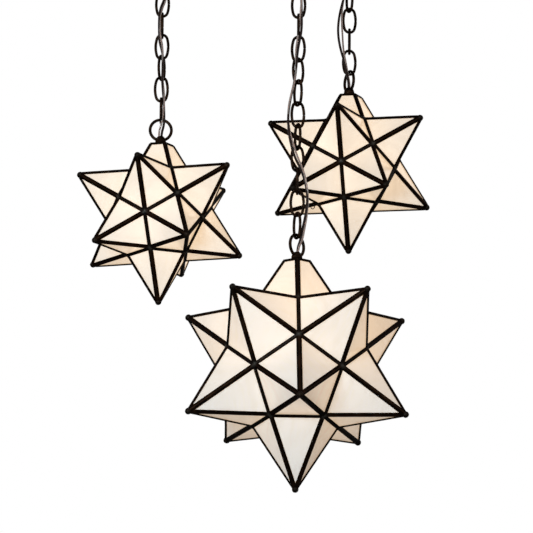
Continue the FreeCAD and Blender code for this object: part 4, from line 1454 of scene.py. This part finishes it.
@dataclass
class StarShape:
    """Faces of one star, about its own centre, in millimetres."""

    plan: PendantPlan
    valley_share: float = 0.6
    came_sheet: float = 1.2
    valley_strip: float = 2.6
    top_strip: float = 2.0
    glass_sheet: float = 2.0
    glass_play: float = 0.15
    glass_ridge_margin: float = 1.5
    glass_valley_margin: float = 0.3
    door_play: float = 0.25
    axes: dict[str, np.ndarray] = field(init=False)
    ring_of: dict[str, list[str]] = field(init=False)

    def __post_init__(self) -> None:
        """Work out the twelve points and who their neighbours are."""
        height, reach = 1 / math.sqrt(5), 2 / math.sqrt(5)
        self.axes = {"top": UP, "bottom": -UP}
        for k in range(5):
            upper = math.radians(self.plan.star_turn + 72 * k)
            lower = math.radians(self.plan.star_turn + 72 * k + 36)
            self.axes[f"upper_{k}"] = np.array([reach * math.cos(upper), reach * math.sin(upper), height])
            self.axes[f"lower_{k}"] = np.array([reach * math.cos(lower), reach * math.sin(lower), -height])
        self.ring_of = {point: self.neighbours(point) for point in self.axes}

    @property
    def sizes(self) -> StarSizes:
        """The sizes of this kind of star."""
        return STAR_SIZES[self.plan.size]

    @property
    def door(self) -> str:
        """The point that opens."""
        return f"lower_{self.plan.door}"

    def neighbours(self, point: str) -> list[str]:
        """The five points round a point, in order, seen from outside turning left."""
        axis = self.axes[point]
        near = [other for other in self.axes if other != point and self.axes[other] @ axis > 0]
        across = unit(self.axes[near[0]] - axis * (self.axes[near[0]] @ axis))
        beside = np.cross(axis, across)
        return sorted(
            near, key=lambda other: math.atan2(self.axes[other] @ beside, self.axes[other] @ across)
        )

    def valley_corner(self, point: str, first: str, second: str) -> np.ndarray:
        """Corner where three points' bases meet."""
        total = self.axes[point] + self.axes[first] + self.axes[second]
        return unit(total) * self.sizes.radius * self.valley_share

    def face(self, point: str, k: int, scale: float = 1.0) -> np.ndarray:
        """Corners of a face: tip, then the valley corners; the top point's faces end at the cut.

        Args:
            point: Name of the star's point.
            k: Number of the neighbour beside the face.
            scale: Share by which the star is shrunk about its centre.

        Returns:
            Three or four corners, turning left seen from outside.
        """
        ring = self.ring_of[point]
        before = self.valley_corner(point, ring[k - 1], ring[k]) * scale
        after = self.valley_corner(point, ring[k], ring[(k + 1) % 5]) * scale
        tip = self.axes[point] * self.sizes.apex * scale
        if point != "top":
            return np.array([tip, before, after])
        cut = self.sizes.radius - self.sizes.cut
        high_before = tip + (before - tip) * ((tip[2] - cut) / (tip[2] - before[2]))
        high_after = tip + (after - tip) * ((tip[2] - cut) / (tip[2] - after[2]))
        return np.array([high_after, high_before, before, after])

    def normal(self, point: str, k: int) -> np.ndarray:
        """Outward unit normal of a face."""
        corners = self.face(point, k)
        return unit(np.cross(corners[1] - corners[0], corners[2] - corners[1]))

    def scale_at(self, depth: float) -> float:
        """Share that moves every face inwards by a depth."""
        corners = self.face(self.door, 0)
        return 1 - depth / abs(corners[0] @ self.normal(self.door, 0))

    def margins(self, point: str, ridge: float, valley: float, top: float) -> list[float]:
        """Margins for the edges of a face, in the order of its corners."""
        return [top, ridge, valley, ridge] if point == "top" else [ridge, valley, ridge]

    def kinds(self, point: str, k: int) -> list[EdgeKind]:
        """Kinds of the edges of a face, in the order of its corners."""
        other = self.ring_of[point][k]
        valley = EdgeKind.RIM if self.door in (point, other) else EdgeKind.VALLEY
        edges = [EdgeKind.RIDGE, valley, EdgeKind.RIDGE]
        return [EdgeKind.CUT] + edges if point == "top" else edges

    def edge_normal(self, point: str, k: int, j: int) -> np.ndarray:
        """Unit direction halfway between the two faces that meet at an edge."""
        own = self.normal(point, k)
        first = 1 if point == "top" else 0
        if j == first:
            return unit(own + self.normal(point, k - 1))
        if j == first + 2:
            return unit(own + self.normal(point, (k + 1) % 5))
        if j == first + 1:
            other = self.ring_of[point][k]
            return unit(own + self.normal(other, self.ring_of[other].index(point)))
        return own

    def door_shift(self) -> np.ndarray:
        """Outward move of the door that opens its clearance to the strips round it."""
        ring = self.ring_of[self.door]
        corners = [self.valley_corner(self.door, ring[k], ring[k + 1]) for k in (0, 1)]
        wall = unit(np.cross(*corners))
        return self.axes[self.door] * (self.door_play / abs(wall @ self.axes[self.door]))


@dataclass
class Strips:
    """Soldered metal strips over some points of a star."""

    shape: StarShape
    fillet: float = 0.75
    joint: float = 0.55
    joint_reach: float = 3.2
    fold: float = 0.3
    lip: float = 0.32
    fillet_reach: float = 1.5
    fold_reach: float = 0.8
    rubbed_sheen_reach: float = 0.75
    drop_radius: float = 4.6

    def relief(
        self, flat: np.ndarray, corners: np.ndarray, normal: np.ndarray, kinds: list[EdgeKind]
    ) -> tuple[np.ndarray, ...]:
        """Height of the solder and folds over a face, with its marks.

        Args:
            flat: Grid of points in the face's plane.
            corners: The face's corners.
            normal: The face's outward normal.
            kinds: Kinds of its edges.

        Returns:
            The heights, the rubbed mark of each point (wear plus a painted highlight along the ridge folds),
            and how much solder it carries.
        """
        height = np.zeros(flat.shape[:2])
        rubbed = np.zeros(flat.shape[:2])
        solder = np.zeros(flat.shape[:2])
        count = len(corners)
        for j, kind in enumerate(kinds):
            along = unit(corners[(j + 1) % count] - corners[j])
            away = (flat - corners[j]) @ np.cross(normal, along)
            near = np.clip(1 - away / self.fillet_reach, 0, 1)
            if kind is EdgeKind.VALLEY:
                height += self.fillet * near**2
                solder = np.maximum(solder, 0.25 * near)
            elif kind is EdgeKind.RIDGE:
                height -= self.fold * np.clip(1 - away / self.fold_reach, 0, 1) ** 2
                # Painted highlight along the ridge fold, which also stands for wear: the rubbed mark lightens
                # the metal here.
                rubbed = np.maximum(rubbed, np.exp(-((away / self.rubbed_sheen_reach) ** 2)))
        for j in range(count):
            if {kinds[j], kinds[j - 1]} == {EdgeKind.VALLEY, EdgeKind.RIDGE}:
                distance = np.linalg.norm(flat - corners[j], axis=-1)
                blob = np.exp(-((distance / self.joint_reach) ** 2))
                height += self.joint * blob
                solder = np.maximum(solder, blob)
        return height, rubbed * (1 - solder), solder

    def add_face(self, shell: Shell, point: str, k: int, shift: np.ndarray) -> None:
        """Add the strips round one face, their inner side and their walls.

        Args:
            shell: Where they are added.
            point: Name of the star's point.
            k: Number of the face.
            shift: Move of the whole face.
        """
        shape = self.shape
        corners = shape.face(point, k)
        normal = shape.normal(point, k)
        kinds = shape.kinds(point, k)
        window = inset(
            corners, shape.margins(point, shape.sizes.ridge_strip, shape.valley_strip, shape.top_strip)
        )
        scale = shape.scale_at(shape.came_sheet)
        count = len(corners)
        for j, kind in enumerate(kinds):
            start, end = corners[j], corners[(j + 1) % count]
            steps = max(3, int(np.linalg.norm(end - start) / 3.0))
            share = np.linspace(0, 1, steps + 1)
            share = 0.5 * share + 0.5 * (0.5 - 0.5 * np.cos(math.pi * share))
            outer = start + np.outer(share, end - start)
            inner = window[j] + np.outer(share, window[(j + 1) % count] - window[j])
            level = STRIP_LEVELS[None, :, None]
            flat = outer[:, None, :] * (1 - level) + inner[:, None, :] * level
            height, rubbed, solder = self.relief(flat, corners, normal, kinds)
            height += 0.07 * wobble(flat, 17.0) * (1 - level[..., 0] * 0.5)
            height -= self.lip * np.clip((level[..., 0] - 0.8) / 0.2, 0, 1) ** 2
            lift = np.broadcast_to(normal, flat.shape).copy()
            lift[:, 0] = normal if kind is EdgeKind.RIM else shape.edge_normal(point, k, j)
            for row, corner in ((0, start), (-1, end)):
                at_tip = np.linalg.norm(corner) > shape.sizes.radius * 0.9
                at_cut = kinds[0] is EdgeKind.CUT and corner[2] > shape.sizes.radius * 0.7
                if kind is EdgeKind.RIM or at_tip or at_cut:
                    height[row, 0] = 0.0
                else:
                    lift[row, 0] = unit(corner)
            front = self.ended(point, flat + lift * height[..., None], 0.8)
            shell.add_grid(front + shift, {"rubbed": rubbed, "solder": solder})
            back = self.ended(point, np.stack([outer * scale, inner - normal * shape.came_sheet], 1), 0.6)
            shell.add_grid(back + shift, flip=True)
            shell.add_grid(np.stack([front[:, -1], back[:, 1]], 1) + shift)
            if kind in (EdgeKind.RIM, EdgeKind.CUT):
                shell.add_grid(np.stack([back[:, 0], front[:, 0]], 1) + shift)

    def ended(self, point: str, grid: np.ndarray, share: float) -> np.ndarray:
        """Strips drawn into the solder drop where they would run on past it.

        Args:
            point: Name of the star's point.
            grid: Points on the strips.
            share: Share of the drop's radius at which they end.

        Returns:
            The points, those past the drop's middle moved into it.
        """
        if point == "top":
            return grid
        axis, middle = self.shape.axes[point], self.shape.axes[point] * self.shape.sizes.radius
        away = grid - middle
        reach = np.linalg.norm(away, axis=-1, keepdims=True)
        pulled = middle + away * np.minimum(1.0, share * self.drop_radius / np.maximum(reach, TINY))
        return np.where((away @ axis)[..., None] > 0.2, pulled, grid)

    def add_points(self, shell: Shell, points: Sequence[str], shift: np.ndarray) -> None:
        """Add the strips of some points and the solder drops on their tips."""
        for point in points:
            for k in range(5):
                self.add_face(shell, point, k, shift)
            if point != "top":
                axis = self.shape.axes[point]
                centre = axis * (self.shape.sizes.radius + 0.2) + shift
                shell.add_lump(centre, axis, self.drop_radius, self.drop_radius * 1.02, 0.18)


@dataclass
class Panes:
    """Glass panes behind the strips of some points."""

    shape: StarShape
    edge: float = 0.35

    def build(self, points: Sequence[str], shift: np.ndarray, seed: int) -> tuple[Shell, np.ndarray]:
        """Make the panes.

        Args:
            points: Names of the star's points.
            shift: Move of all of them.
            seed: Start of the chance that turns the streaks of each pane.

        Returns:
            The panes about the star's place, and each point's place on its own pane.
        """
        chance = np.random.default_rng(seed)
        shape = self.shape
        shell = Shell()
        places = []
        depth = shape.came_sheet + shape.glass_play
        for point in points:
            for k in range(5):
                face = shape.face(point, k, shape.scale_at(depth))
                normal = shape.normal(point, k)
                margins = shape.margins(
                    point, shape.glass_ridge_margin, shape.glass_valley_margin, shape.top_strip / 2
                )
                outline = inset(face, margins)
                small = inset(outline, [self.edge] * len(outline))
                sheet = shape.glass_sheet
                rows = np.array([
                    small,
                    outline - normal * self.edge,
                    outline - normal * (sheet - self.edge),
                    small - normal * sheet,
                ]) + shift + shape.plan.star_centre
                tone = chance.uniform(-1, 1)
                angle = chance.uniform(-0.5, 0.5) + (0.0 if chance.uniform() < 0.6 else 1.4)
                along = unit(outline[-1] - outline[-2])
                beside = np.cross(normal, along)
                first = along * math.cos(angle) + beside * math.sin(angle)
                second = np.cross(normal, first)
                origin = chance.uniform(-40, 40, 3)

                def local(grid: np.ndarray) -> np.ndarray:
                    """Place on the pane, along and across its streaks."""
                    flat = grid.reshape(-1, 3) - rows.reshape(-1, 3).mean(0)
                    return np.stack([flat @ first, flat @ second, flat @ normal], 1) + origin

                marks = {"pane_tone": np.full(rows.shape[:2], tone)}
                shell.add_grid(rows, marks, closed=True, flip=True)
                places.append(local(rows))
                for ring, flip in ((rows[0], False), (rows[-1], True)):
                    polygon = ring[::-1] if flip else ring
                    shell.add_polygon(polygon, {"pane_tone": np.full(len(ring), tone)})
                    places.append(local(polygon))
        return shell, np.vstack(places)


@dataclass
class Hinge:
    """Hinge along the valley between the door and the point above it, and the door's pull loop."""

    shape: StarShape
    finishes: Finishes
    radius: float = 1.9
    pin_radius: float = 0.8
    knuckle: float = 8.0
    gap: float = 0.5
    leaf_width: float = 5.0
    leaf_sheet: float = 0.8
    pull_radius: float = 3.6
    pull_wire: float = 1.2
    upper: str = field(init=False)
    along: np.ndarray = field(init=False)
    outwards: np.ndarray = field(init=False)
    axis_point: np.ndarray = field(init=False)
    lift: float = field(init=False)

    def __post_init__(self) -> None:
        """Place the hinge on the door joint's own axis."""
        shape = self.shape
        self.upper = shape.door.replace("lower", "upper")
        k = shape.ring_of[shape.door].index(self.upper)
        corners = shape.face(shape.door, k)
        self.along = unit(corners[-1] - corners[-2])
        middle = (corners[-1] + corners[-2]) / 2
        self.outwards = unit(middle - self.along * (middle @ self.along))
        joint = next(j for j in frame["joints"] if j["name"] == f"{shape.plan.name}_door_hinge")
        anchor = np.array(joint["pos_m"], float) / MM - shape.plan.star_centre
        self.axis_point = anchor + self.along * ((middle - anchor) @ self.along)
        self.lift = float((self.axis_point - middle) @ self.fixed_normal) - self.radius

    @property
    def door_normal(self) -> np.ndarray:
        """Outward normal of the door's face at the hinge."""
        return self.shape.normal(self.shape.door, self.shape.ring_of[self.shape.door].index(self.upper))

    @property
    def fixed_normal(self) -> np.ndarray:
        """Outward normal of the fixed face at the hinge."""
        return self.shape.normal(self.upper, self.shape.ring_of[self.upper].index(self.shape.door))

    def add_barrel(self, shell: Shell, offset: float, normal: np.ndarray) -> None:
        """Add a knuckle with its leaf, its web and two rivets.

        Args:
            shell: Where they are added.
            offset: Middle of the knuckle along the hinge.
            normal: Outward normal of the face that carries the leaf.
        """
        centre = self.shape.plan.star_centre
        axis = self.axis_point + centre
        half = self.knuckle / 2
        path = np.array([axis + self.along * (offset - half), axis + self.along * (offset + half)])
        shell.add_tube(path, self.radius, 24, bevel=0.3)
        across = unit(np.cross(normal, self.along))
        away = across if across @ self.outwards > 0 else -across
        base = path[0]
        foot = base - normal * (self.radius + self.lift)
        sink = self.shape.came_sheet / 2
        run = self.along * self.knuckle
        near, far = foot - away * 0.2, foot + away * (self.leaf_width - 0.2)
        top, low = normal * self.leaf_sheet, normal * sink
        shell.add_block(np.array([near - low, far - low, far + top, near + top]), run)
        web = away * self.radius * 0.8
        shell.add_block(np.array([foot - low, foot + web - low, base + web, base]), run)
        for share in (0.25, 0.75):
            place = foot + away * (self.leaf_width * 0.68) + run * share + normal * self.leaf_sheet
            dome = [(0.95, -0.2), (0.95, 0.05), (0.75, 0.35), (0.4, 0.5), (0.0, 0.55)]
            shell.add_turned(dome, place, 14, turn=turn_to(normal))

    def build(self) -> None:
        """Make the fixed and the moving half, the pin and the pull loop."""
        plan = self.shape.plan
        name, centre = plan.name, plan.star_centre
        fixed, moving = Shell(), Shell()
        step = self.knuckle + self.gap
        for side in (-1, 1):
            self.add_barrel(fixed, side * step, self.fixed_normal)
        self.add_barrel(moving, 0.0, self.door_normal)
        finish, slot = self.finishes.strips, "dark_bronze"
        fixed.piece(
            f"{name}_hinge_fixed_leaves", finish, f"{name}_star", slot, [f"{name}_star_frame"], bevel=0.15
        )
        moving.piece(
            f"{name}_hinge_door_leaf", finish, f"{name}_door", slot, [f"{name}_door_frame"], bevel=0.15
        )
        pin = Shell()
        half = 1.5 * self.knuckle + self.gap
        middle = self.axis_point + centre
        pin.add_tube(
            np.array([middle - self.along * half, middle + self.along * half]), self.pin_radius, 16, bevel=0.2
        )
        pin.piece(
            f"{name}_hinge_pin_steel", self.finishes.steel, f"{name}_star", "plated_steel",
            [f"{name}_hinge_pin"],
        )
        self.pull_loop()

    def pull_loop(self) -> None:
        """The small wire loop soldered to the door's corner opposite the hinge."""
        shape = self.shape
        ring = shape.ring_of[shape.door]
        k = ring.index(self.upper)
        corner = shape.valley_corner(shape.door, ring[(k + 2) % 5], ring[(k + 3) % 5]) + shape.door_shift()
        towards_tip = unit(shape.axes[shape.door] * shape.sizes.radius - corner)
        outwards = unit(corner)
        wire = self.pull_wire / 2
        reach = self.pull_radius - wire
        foot = corner + towards_tip * (shape.sizes.ridge_strip * 1.2)
        middle = foot + outwards * (reach + wire * 0.4) + shape.plan.star_centre
        across = unit(np.cross(outwards, towards_tip))
        angles = np.arange(36) * (2 * math.pi / 36)
        path = middle + np.outer(np.cos(angles), outwards) * reach + np.outer(np.sin(angles), across) * reach
        shell = Shell()
        shell.add_tube(path, wire, 12, ring=True)
        shell.add_lump(foot + shape.plan.star_centre + outwards * 0.1, outwards, 2.0, 0.9, 0.7)
        name = shape.plan.name
        shell.piece(f"{name}_pull_loop", self.finishes.strips, f"{name}_door", "dark_bronze")


@dataclass
class Fittings:
    """Ring, collar, top plate, tube, socket and bulb of one star."""

    plan: PendantPlan
    finishes: Finishes
    socket_radius: float = 17.0
    socket_length: float = 38.0
    socket_wall: float = 2.2
    socket_cap: float = 9.0
    socket_drop: float = 11.0
    base_radius: float = 13.2
    base_length: float = 36.0

    @property
    def plate(self) -> float:
        """Height of the underside of the top plate."""
        return CHAIN.plate(self.plan.links)

    @property
    def mouth(self) -> float:
        """Height of the socket's mouth."""
        return self.plate - self.socket_drop - self.socket_cap - self.socket_length

    @property
    def bulb_top(self) -> float:
        """Height at which the bulb's glass starts."""
        return self.mouth + self.socket_length - self.socket_wall - self.base_length

    @property
    def lamp(self) -> np.ndarray:
        """Middle of the bulb's light."""
        return self.plan.spot + UP * (self.bulb_top - 50.0)

    def build(self) -> None:
        """Make them all."""
        self.ring_and_collar()
        self.tube_and_nut()
        self.socket()
        self.bulb()
        refinish(f"{self.plan.name}_top_plate", self.finishes.strips)

    def ring_and_collar(self) -> None:
        """The hanging ring that rises out of its domed collar."""
        shell = Shell()
        base = self.plan.spot + UP * (self.plate + CHAIN.plate_sheet)
        radius, height, bore = CHAIN.collar_radius, CHAIN.collar_height, CHAIN.stem_bore
        outline = rounded([
            (bore, 0.0), (radius, 0.0), (radius, height * 0.2), (radius * 0.9, height * 0.25),
            (radius * 0.97, height * 0.32), (radius * 0.93, height * 0.56), (radius * 0.76, height * 0.82),
            (radius * 0.5, height), (bore, height), (bore, height * 0.4),
        ], 1.1)
        shell.add_turned(outline, base, 44)
        centre = self.plan.spot + UP * CHAIN.ring_centre(self.plan.links)
        add_open_ring(
            shell, centre, turned(self.plan.ring_turn), CHAIN.ring_radius, CHAIN.ring_wire, 270.0, 15.0
        )
        name = self.plan.name
        shell.piece(
            f"{name}_ring", self.finishes.chain, f"{name}_star", "dark_bronze", [f"{name}_ring_collar"]
        )

    def tube_and_nut(self) -> None:
        """The threaded tube through the top plate, and its lock nut."""
        name, spot = self.plan.name, self.plan.spot
        tube, nut = Shell(), Shell()
        above = CHAIN.plate_sheet + CHAIN.collar_height * 0.45
        below = self.socket_drop + self.socket_cap * 0.5
        base = spot + UP * (self.plate - below)
        add_screw_thread(tube, CHAIN.stem_radius, 0.35, 1.0, above + below, base, CHAIN.stem_bore)
        replaced = [f"{name}_threaded_tube"]
        tube.piece(f"{name}_stem_threaded", self.finishes.steel, f"{name}_star", "plated_steel", replaced)
        add_nut(
            nut, CHAIN.nut_width, CHAIN.nut_height, CHAIN.stem_radius,
            spot + UP * (self.plate - CHAIN.nut_height),
        )
        nut.piece(
            f"{name}_stem_nut", self.finishes.steel, f"{name}_star", "plated_steel", [f"{name}_lock_nut"]
        )

    def socket(self) -> None:
        """The glazed lamp socket with its shoulder and its grooves."""
        radius, length, wall = self.socket_radius, self.socket_length, self.socket_wall
        top = length + self.socket_cap
        inner = radius - wall
        outside = [(inner, 0.0), (radius - 0.6, 0.0), (radius, 0.8), (radius, 5.0), (radius - 0.9, 6.0)]
        for k in range(4):
            low = 9.0 + k * 6.0
            outside += [(radius - 0.9, low), (radius - 0.2, low + 0.8)]
            outside += [(radius - 0.2, low + 3.4), (radius - 0.9, low + 4.2)]
        outside += [
            (radius - 0.9, length - 2.0), (radius - 2.4, length + 1.2), (CHAIN.stem_radius + 3.4, top - 1.6)
        ]
        outside += [
            (CHAIN.stem_radius + 2.2, top), (CHAIN.stem_radius, top), (CHAIN.stem_radius, length - wall)
        ]
        shell = Shell()
        profile = rounded(outside + [(inner, length - wall), (inner, 0.0)], 0.7, 3)
        shell.add_turned(profile, self.plan.spot + UP * self.mouth, 56)
        name = self.plan.name
        finish, replaced = self.finishes.porcelain, [f"{name}_socket"]
        shell.piece(f"{name}_lamp_socket", finish, f"{name}_star", "socket_porcelain", replaced)

    def bulb(self) -> None:
        """The screw base and the frosted glass."""
        name, spot = self.plan.name, self.plan.spot
        neck, length = self.base_radius, self.base_length
        base = spot + UP * self.bulb_top

        def form(angles: np.ndarray, radius: float, height: float) -> np.ndarray:
            """Rolled thread between the collar and the contact."""
            if not 6.0 < height < length * 0.78:
                return np.full(len(angles), radius)
            return radius - 0.8 * (0.5 - 0.5 * np.cos(2 * math.pi * (height / 3.6) - angles))

        turns = int((length * 0.8 - 1.0) / 0.6)
        profile = [(0.0, 0.0), (neck, 0.0)] + [(neck, 1.0 + 0.6 * k) for k in range(turns)]
        profile += [
            (neck - 0.5, length * 0.8), (neck * 0.75, length * 0.88), (neck * 0.6, length * 0.95),
            (neck * 0.6, length),
            (0.0, length),
        ]
        shell = Shell()
        shell.add_turned(profile, base, 40, form)
        shell.piece(
            f"{name}_bulb_screw", self.finishes.brass, f"{name}_star", "plated_steel", [f"{name}_bulb_base"]
        )
        glass = [
            (0.0, -84.0), (5.0, -83.6), (10.0, -82.3), (15.5, -79.6), (20.5, -75.9), (24.6, -71.2),
            (27.6, -65.8),
            (29.4, -60.0), (30.0, -54.0), (29.0, -47.6), (26.6, -41.4), (22.9, -34.6), (19.2, -26.5),
            (16.4, -17.5),
            (14.4, -8.5), (13.2, 0.0), (0.0, 0.0),
        ]
        lamp = tuple(float(x) for x in self.lamp * MM)
        finish = LitBulb(f"{name}_frosted_bulb", lamp, (1.0, 0.86, 0.66), (0.9, 0.62, 0.36), 2.6).make()
        bulb = Shell()
        bulb.add_turned(rounded(glass, 3.0, 3), base, 48)
        bulb.piece(
            f"{name}_bulb_frosted", finish, f"{name}_star", "bulb_glass", [f"{name}_bulb_glass"], angle=60
        )


@dataclass
class Star:
    """One star with its strips, glass, door and fittings."""

    plan: PendantPlan
    finishes: Finishes
    glow_rise: float = 28.0

    def glass(self, lamp: np.ndarray) -> Material:
        """The glass of this star, lit by its own lamp."""
        large = self.plan.size is StarSize.LARGE
        return OpalGlass(
            name=f"{self.plan.name}_opal_glass",
            lamp=tuple(float(x) for x in (lamp + (0.0, 0.0, self.glow_rise)) * MM),
            reach=0.17,
            pale=(0.82, 0.85, 0.87),
            smoky=(0.74, 0.76, 0.775),
            near=(1.0, 0.64, 0.32) if large else (1.0, 0.68, 0.38),
            far=(0.02, 0.01, 0.004),
            strength=0.77 if large else 0.78,
        ).make()

    def add_panes(
        self, label: str, points: Sequence[str], shift: np.ndarray, finish: Material, seed: int
    ) -> None:
        """Make one piece of panes.

        Args:
            label: Last part of the piece's name.
            points: Names of the star's points.
            shift: Move of all of the panes.
            finish: Their glass.
            seed: Start of the chance that turns their streaks.
        """
        name = self.plan.name
        shell, places = Panes(StarShape(self.plan)).build(points, shift, seed)
        for axis, column in zip("xyz", places.T):
            shell.marks[f"pane_{axis}"] = [column * MM]
        door = label == "door_panes"
        body = f"{name}_door" if door else f"{name}_star"
        node = f"{name}_door_glass" if door else f"{name}_star_glass"
        made = shell.piece(f"{name}_{label}", finish, body, "opal_glass", [node])
        mesh = made.data
        columns = []
        for axis in "xyz":
            values = np.zeros(len(mesh.vertices), np.float32)
            mesh.attributes[f"pane_{axis}"].data.foreach_get("value", values)
            columns.append(values)
        for axis in "xyz":
            mesh.attributes.remove(mesh.attributes[f"pane_{axis}"])
        layer = mesh.attributes.new("pane_place", "FLOAT_VECTOR", "POINT")
        layer.data.foreach_set("vector", np.stack(columns, 1).ravel())

    def build(self) -> None:
        """Make every piece that swings with the star."""
        plan = self.plan
        shape = StarShape(plan)
        fittings = Fittings(plan, self.finishes)
        fittings.build()
        fixed = [point for point in shape.axes if point != shape.door]
        shift = shape.door_shift()
        frame_shell, door_shell = Shell(), Shell()
        Strips(shape).add_points(frame_shell, fixed, plan.star_centre)
        Strips(shape).add_points(door_shell, [shape.door], plan.star_centre + shift)
        name = plan.name
        finish, slot = self.finishes.strips, "dark_bronze"
        frame_shell.piece(f"{name}_strips", finish, f"{name}_star", slot, [f"{name}_star_frame"], angle=50)
        door_shell.piece(
            f"{name}_door_strips", finish, f"{name}_door", slot, [f"{name}_door_frame"], angle=50
        )
        Hinge(shape, self.finishes).build()
        glass = self.glass(fittings.lamp)
        seed = 11 * (1 + PENDANTS.index(plan))
        self.add_panes("panes", fixed, np.zeros(3), glass, seed)
        self.add_panes("door_panes", [shape.door], shift, glass, seed + 5)


# ---------------------------------------------------------------- studio


@dataclass
class Camera:
    """Camera at the photograph's place, a little below the stars and turned to them."""

    place: tuple[float, float, float] = (-1.69635, -6.66948, -2.33424)
    pitch: float = 14.853
    roll: float = 0.5
    lens: float = 339.61
    sensor: float = 36.0

    def build(self) -> None:
        """Make the camera and use it."""
        data = bpy.data.cameras.new("photo_camera")
        data.lens, data.sensor_width = self.lens, self.sensor
        data.clip_start, data.clip_end = 0.1, 200.0
        data.dof.use_dof = False
        level = unit(np.array([0.2462, 0.9692, 0.0]))
        pitch, roll = math.radians(self.pitch), math.radians(self.roll)
        ahead = level * math.cos(pitch) + UP * math.sin(pitch)
        flat_right = unit(np.cross(ahead, UP))
        flat_up = np.cross(flat_right, ahead)
        right = flat_right * math.cos(roll) + flat_up * math.sin(roll)
        above = flat_up * math.cos(roll) - flat_right * math.sin(roll)
        camera = bpy.data.objects.new("photo_camera", data)
        matrix = Matrix.Identity(4)
        for row in range(3):
            matrix[row][0], matrix[row][1], matrix[row][2] = right[row], above[row], -ahead[row]
            matrix[row][3] = self.place[row]
        camera.matrix_world = matrix
        bpy.context.scene.collection.objects.link(camera)
        bpy.context.scene.camera = camera


@dataclass
class Softbox:
    """One large soft lamp of the studio."""

    name: str
    place: tuple[float, float, float]
    width: float
    power: float
    color: Color = (1.0, 1.0, 1.0)

    def build(self, target: np.ndarray) -> None:
        """Make the lamp and turn it to a target."""
        data = bpy.data.lights.new(self.name, "AREA")
        data.shape = "DISK"
        data.size = self.width
        data.energy = self.power
        data.color = self.color
        lamp = bpy.data.objects.new(self.name, data)
        lamp.location = self.place
        lamp.rotation_mode = "QUATERNION"
        lamp.rotation_quaternion = (Vector(target) - Vector(self.place)).to_track_quat("-Z", "Y")
        bpy.context.scene.collection.objects.link(lamp)


@dataclass
class Studio:
    """Pale floor, white surroundings and soft lamps."""

    floor_level: float = -2.6
    floor_half: float = 45.0
    ambient: float = 0.2
    centre: tuple[float, float, float] = (0.0, -0.05, -0.5)

    def build(self) -> None:
        """Make the floor, the world and the lamps."""
        bpy.context.scene.view_settings.view_transform = "Standard"
        self.world()
        self.floor()
        target = np.array(self.centre)
        key = target + RIGHT * -1.05 + VIEWER * 2.8 - UP * 0.3
        fill = target + RIGHT * 2.4 + VIEWER * 1.6 + UP * 0.2
        Softbox("key_softbox", tuple(key), 1.0, 44.0, (0.68, 0.87, 0.98)).build(target)
        Softbox("fill_softbox", tuple(fill), 1.6, 1.5, (0.9, 0.95, 1.0)).build(target)

    def world(self) -> None:
        """White to the eye and in reflections, and a plain soft light on everything."""
        world = bpy.data.worlds.new("studio_white")
        world.use_nodes = True
        nodes = Nodes(world.node_tree)
        background = world.node_tree.nodes["Background"]
        path = nodes.add("ShaderNodeLightPath")
        seen = nodes.math("MAXIMUM", path.outputs["Is Camera Ray"], path.outputs["Is Glossy Ray"])
        seen = nodes.math("MAXIMUM", seen, path.outputs["Is Transmission Ray"])
        strength = nodes.math("ADD", self.ambient, nodes.math("MULTIPLY", seen, 1.0 - self.ambient))
        background.inputs["Color"].default_value = (1.0, 1.0, 1.0, 1.0)
        nodes.link(strength, background.inputs["Strength"])
        bpy.context.scene.world = world

    def floor(self) -> None:
        """A plain pale floor that can't be seen from below."""
        mesh = bpy.data.meshes.new("studio_floor")
        half, level = self.floor_half, self.floor_level
        corners = [(-half, -half, level), (half, -half, level), (half, half, level), (-half, half, level)]
        mesh.from_pydata(corners, [], [(0, 1, 2, 3)])
        floor = bpy.data.objects.new("studio_floor", mesh)
        bpy.context.scene.collection.objects.link(floor)
        surface = Surface("pale_floor")
        nodes, tree = surface.nodes, surface.material.node_tree
        surface.fix(Roughness=0.9)
        grain = GRAIN.place(
            nodes, Place=surface.place, Scale=30.0, Base=(0.93, 0.93, 0.93), Shade=(0.91, 0.91, 0.905)
        )
        surface.feed(grain.outputs["Color"], "Base Color")
        path, geometry = nodes.add("ShaderNodeLightPath"), nodes.add("ShaderNodeNewGeometry")
        white, clear = nodes.add("ShaderNodeEmission"), nodes.add("ShaderNodeBsdfTransparent")
        first, second = nodes.add("ShaderNodeMixShader"), nodes.add("ShaderNodeMixShader")
        nodes.link(nodes.math("MULTIPLY", path.outputs["Is Camera Ray"], 0.7), first.inputs[0])
        nodes.link(surface.shader.outputs[0], first.inputs[1])
        nodes.link(white.outputs[0], first.inputs[2])
        nodes.link(geometry.outputs["Backfacing"], second.inputs[0])
        nodes.link(first.outputs[0], second.inputs[1])
        nodes.link(clear.outputs[0], second.inputs[2])
        nodes.link(second.outputs[0], tree.nodes["Material Output"].inputs["Surface"])
        mesh.materials.append(surface.material)


# ---------------------------------------------------------------- the whole light


def main() -> None:
    """Build the camera, the cords and then every other sub-assembly in order."""
    logging.basicConfig(level=logging.INFO, format="%(name)s: %(message)s")
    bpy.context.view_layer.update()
    Camera().build()
    finishes = Finishes.make()
    nuts = Shell()
    for plan in PENDANTS:
        cord = Cord(plan, finishes)
        cord.build()
        cord.add_wire_nut(nuts)
    nuts.piece("wire_nuts", finishes.wire_nut, "canopy", "connector_plastic", ["wire_connectors"])
    Canopy(finishes).build()
    for plan in PENDANTS:
        Chain(plan, finishes).build()
        Star(plan, finishes).build()
    Studio().build()


if __name__ == "__main__":
    main()
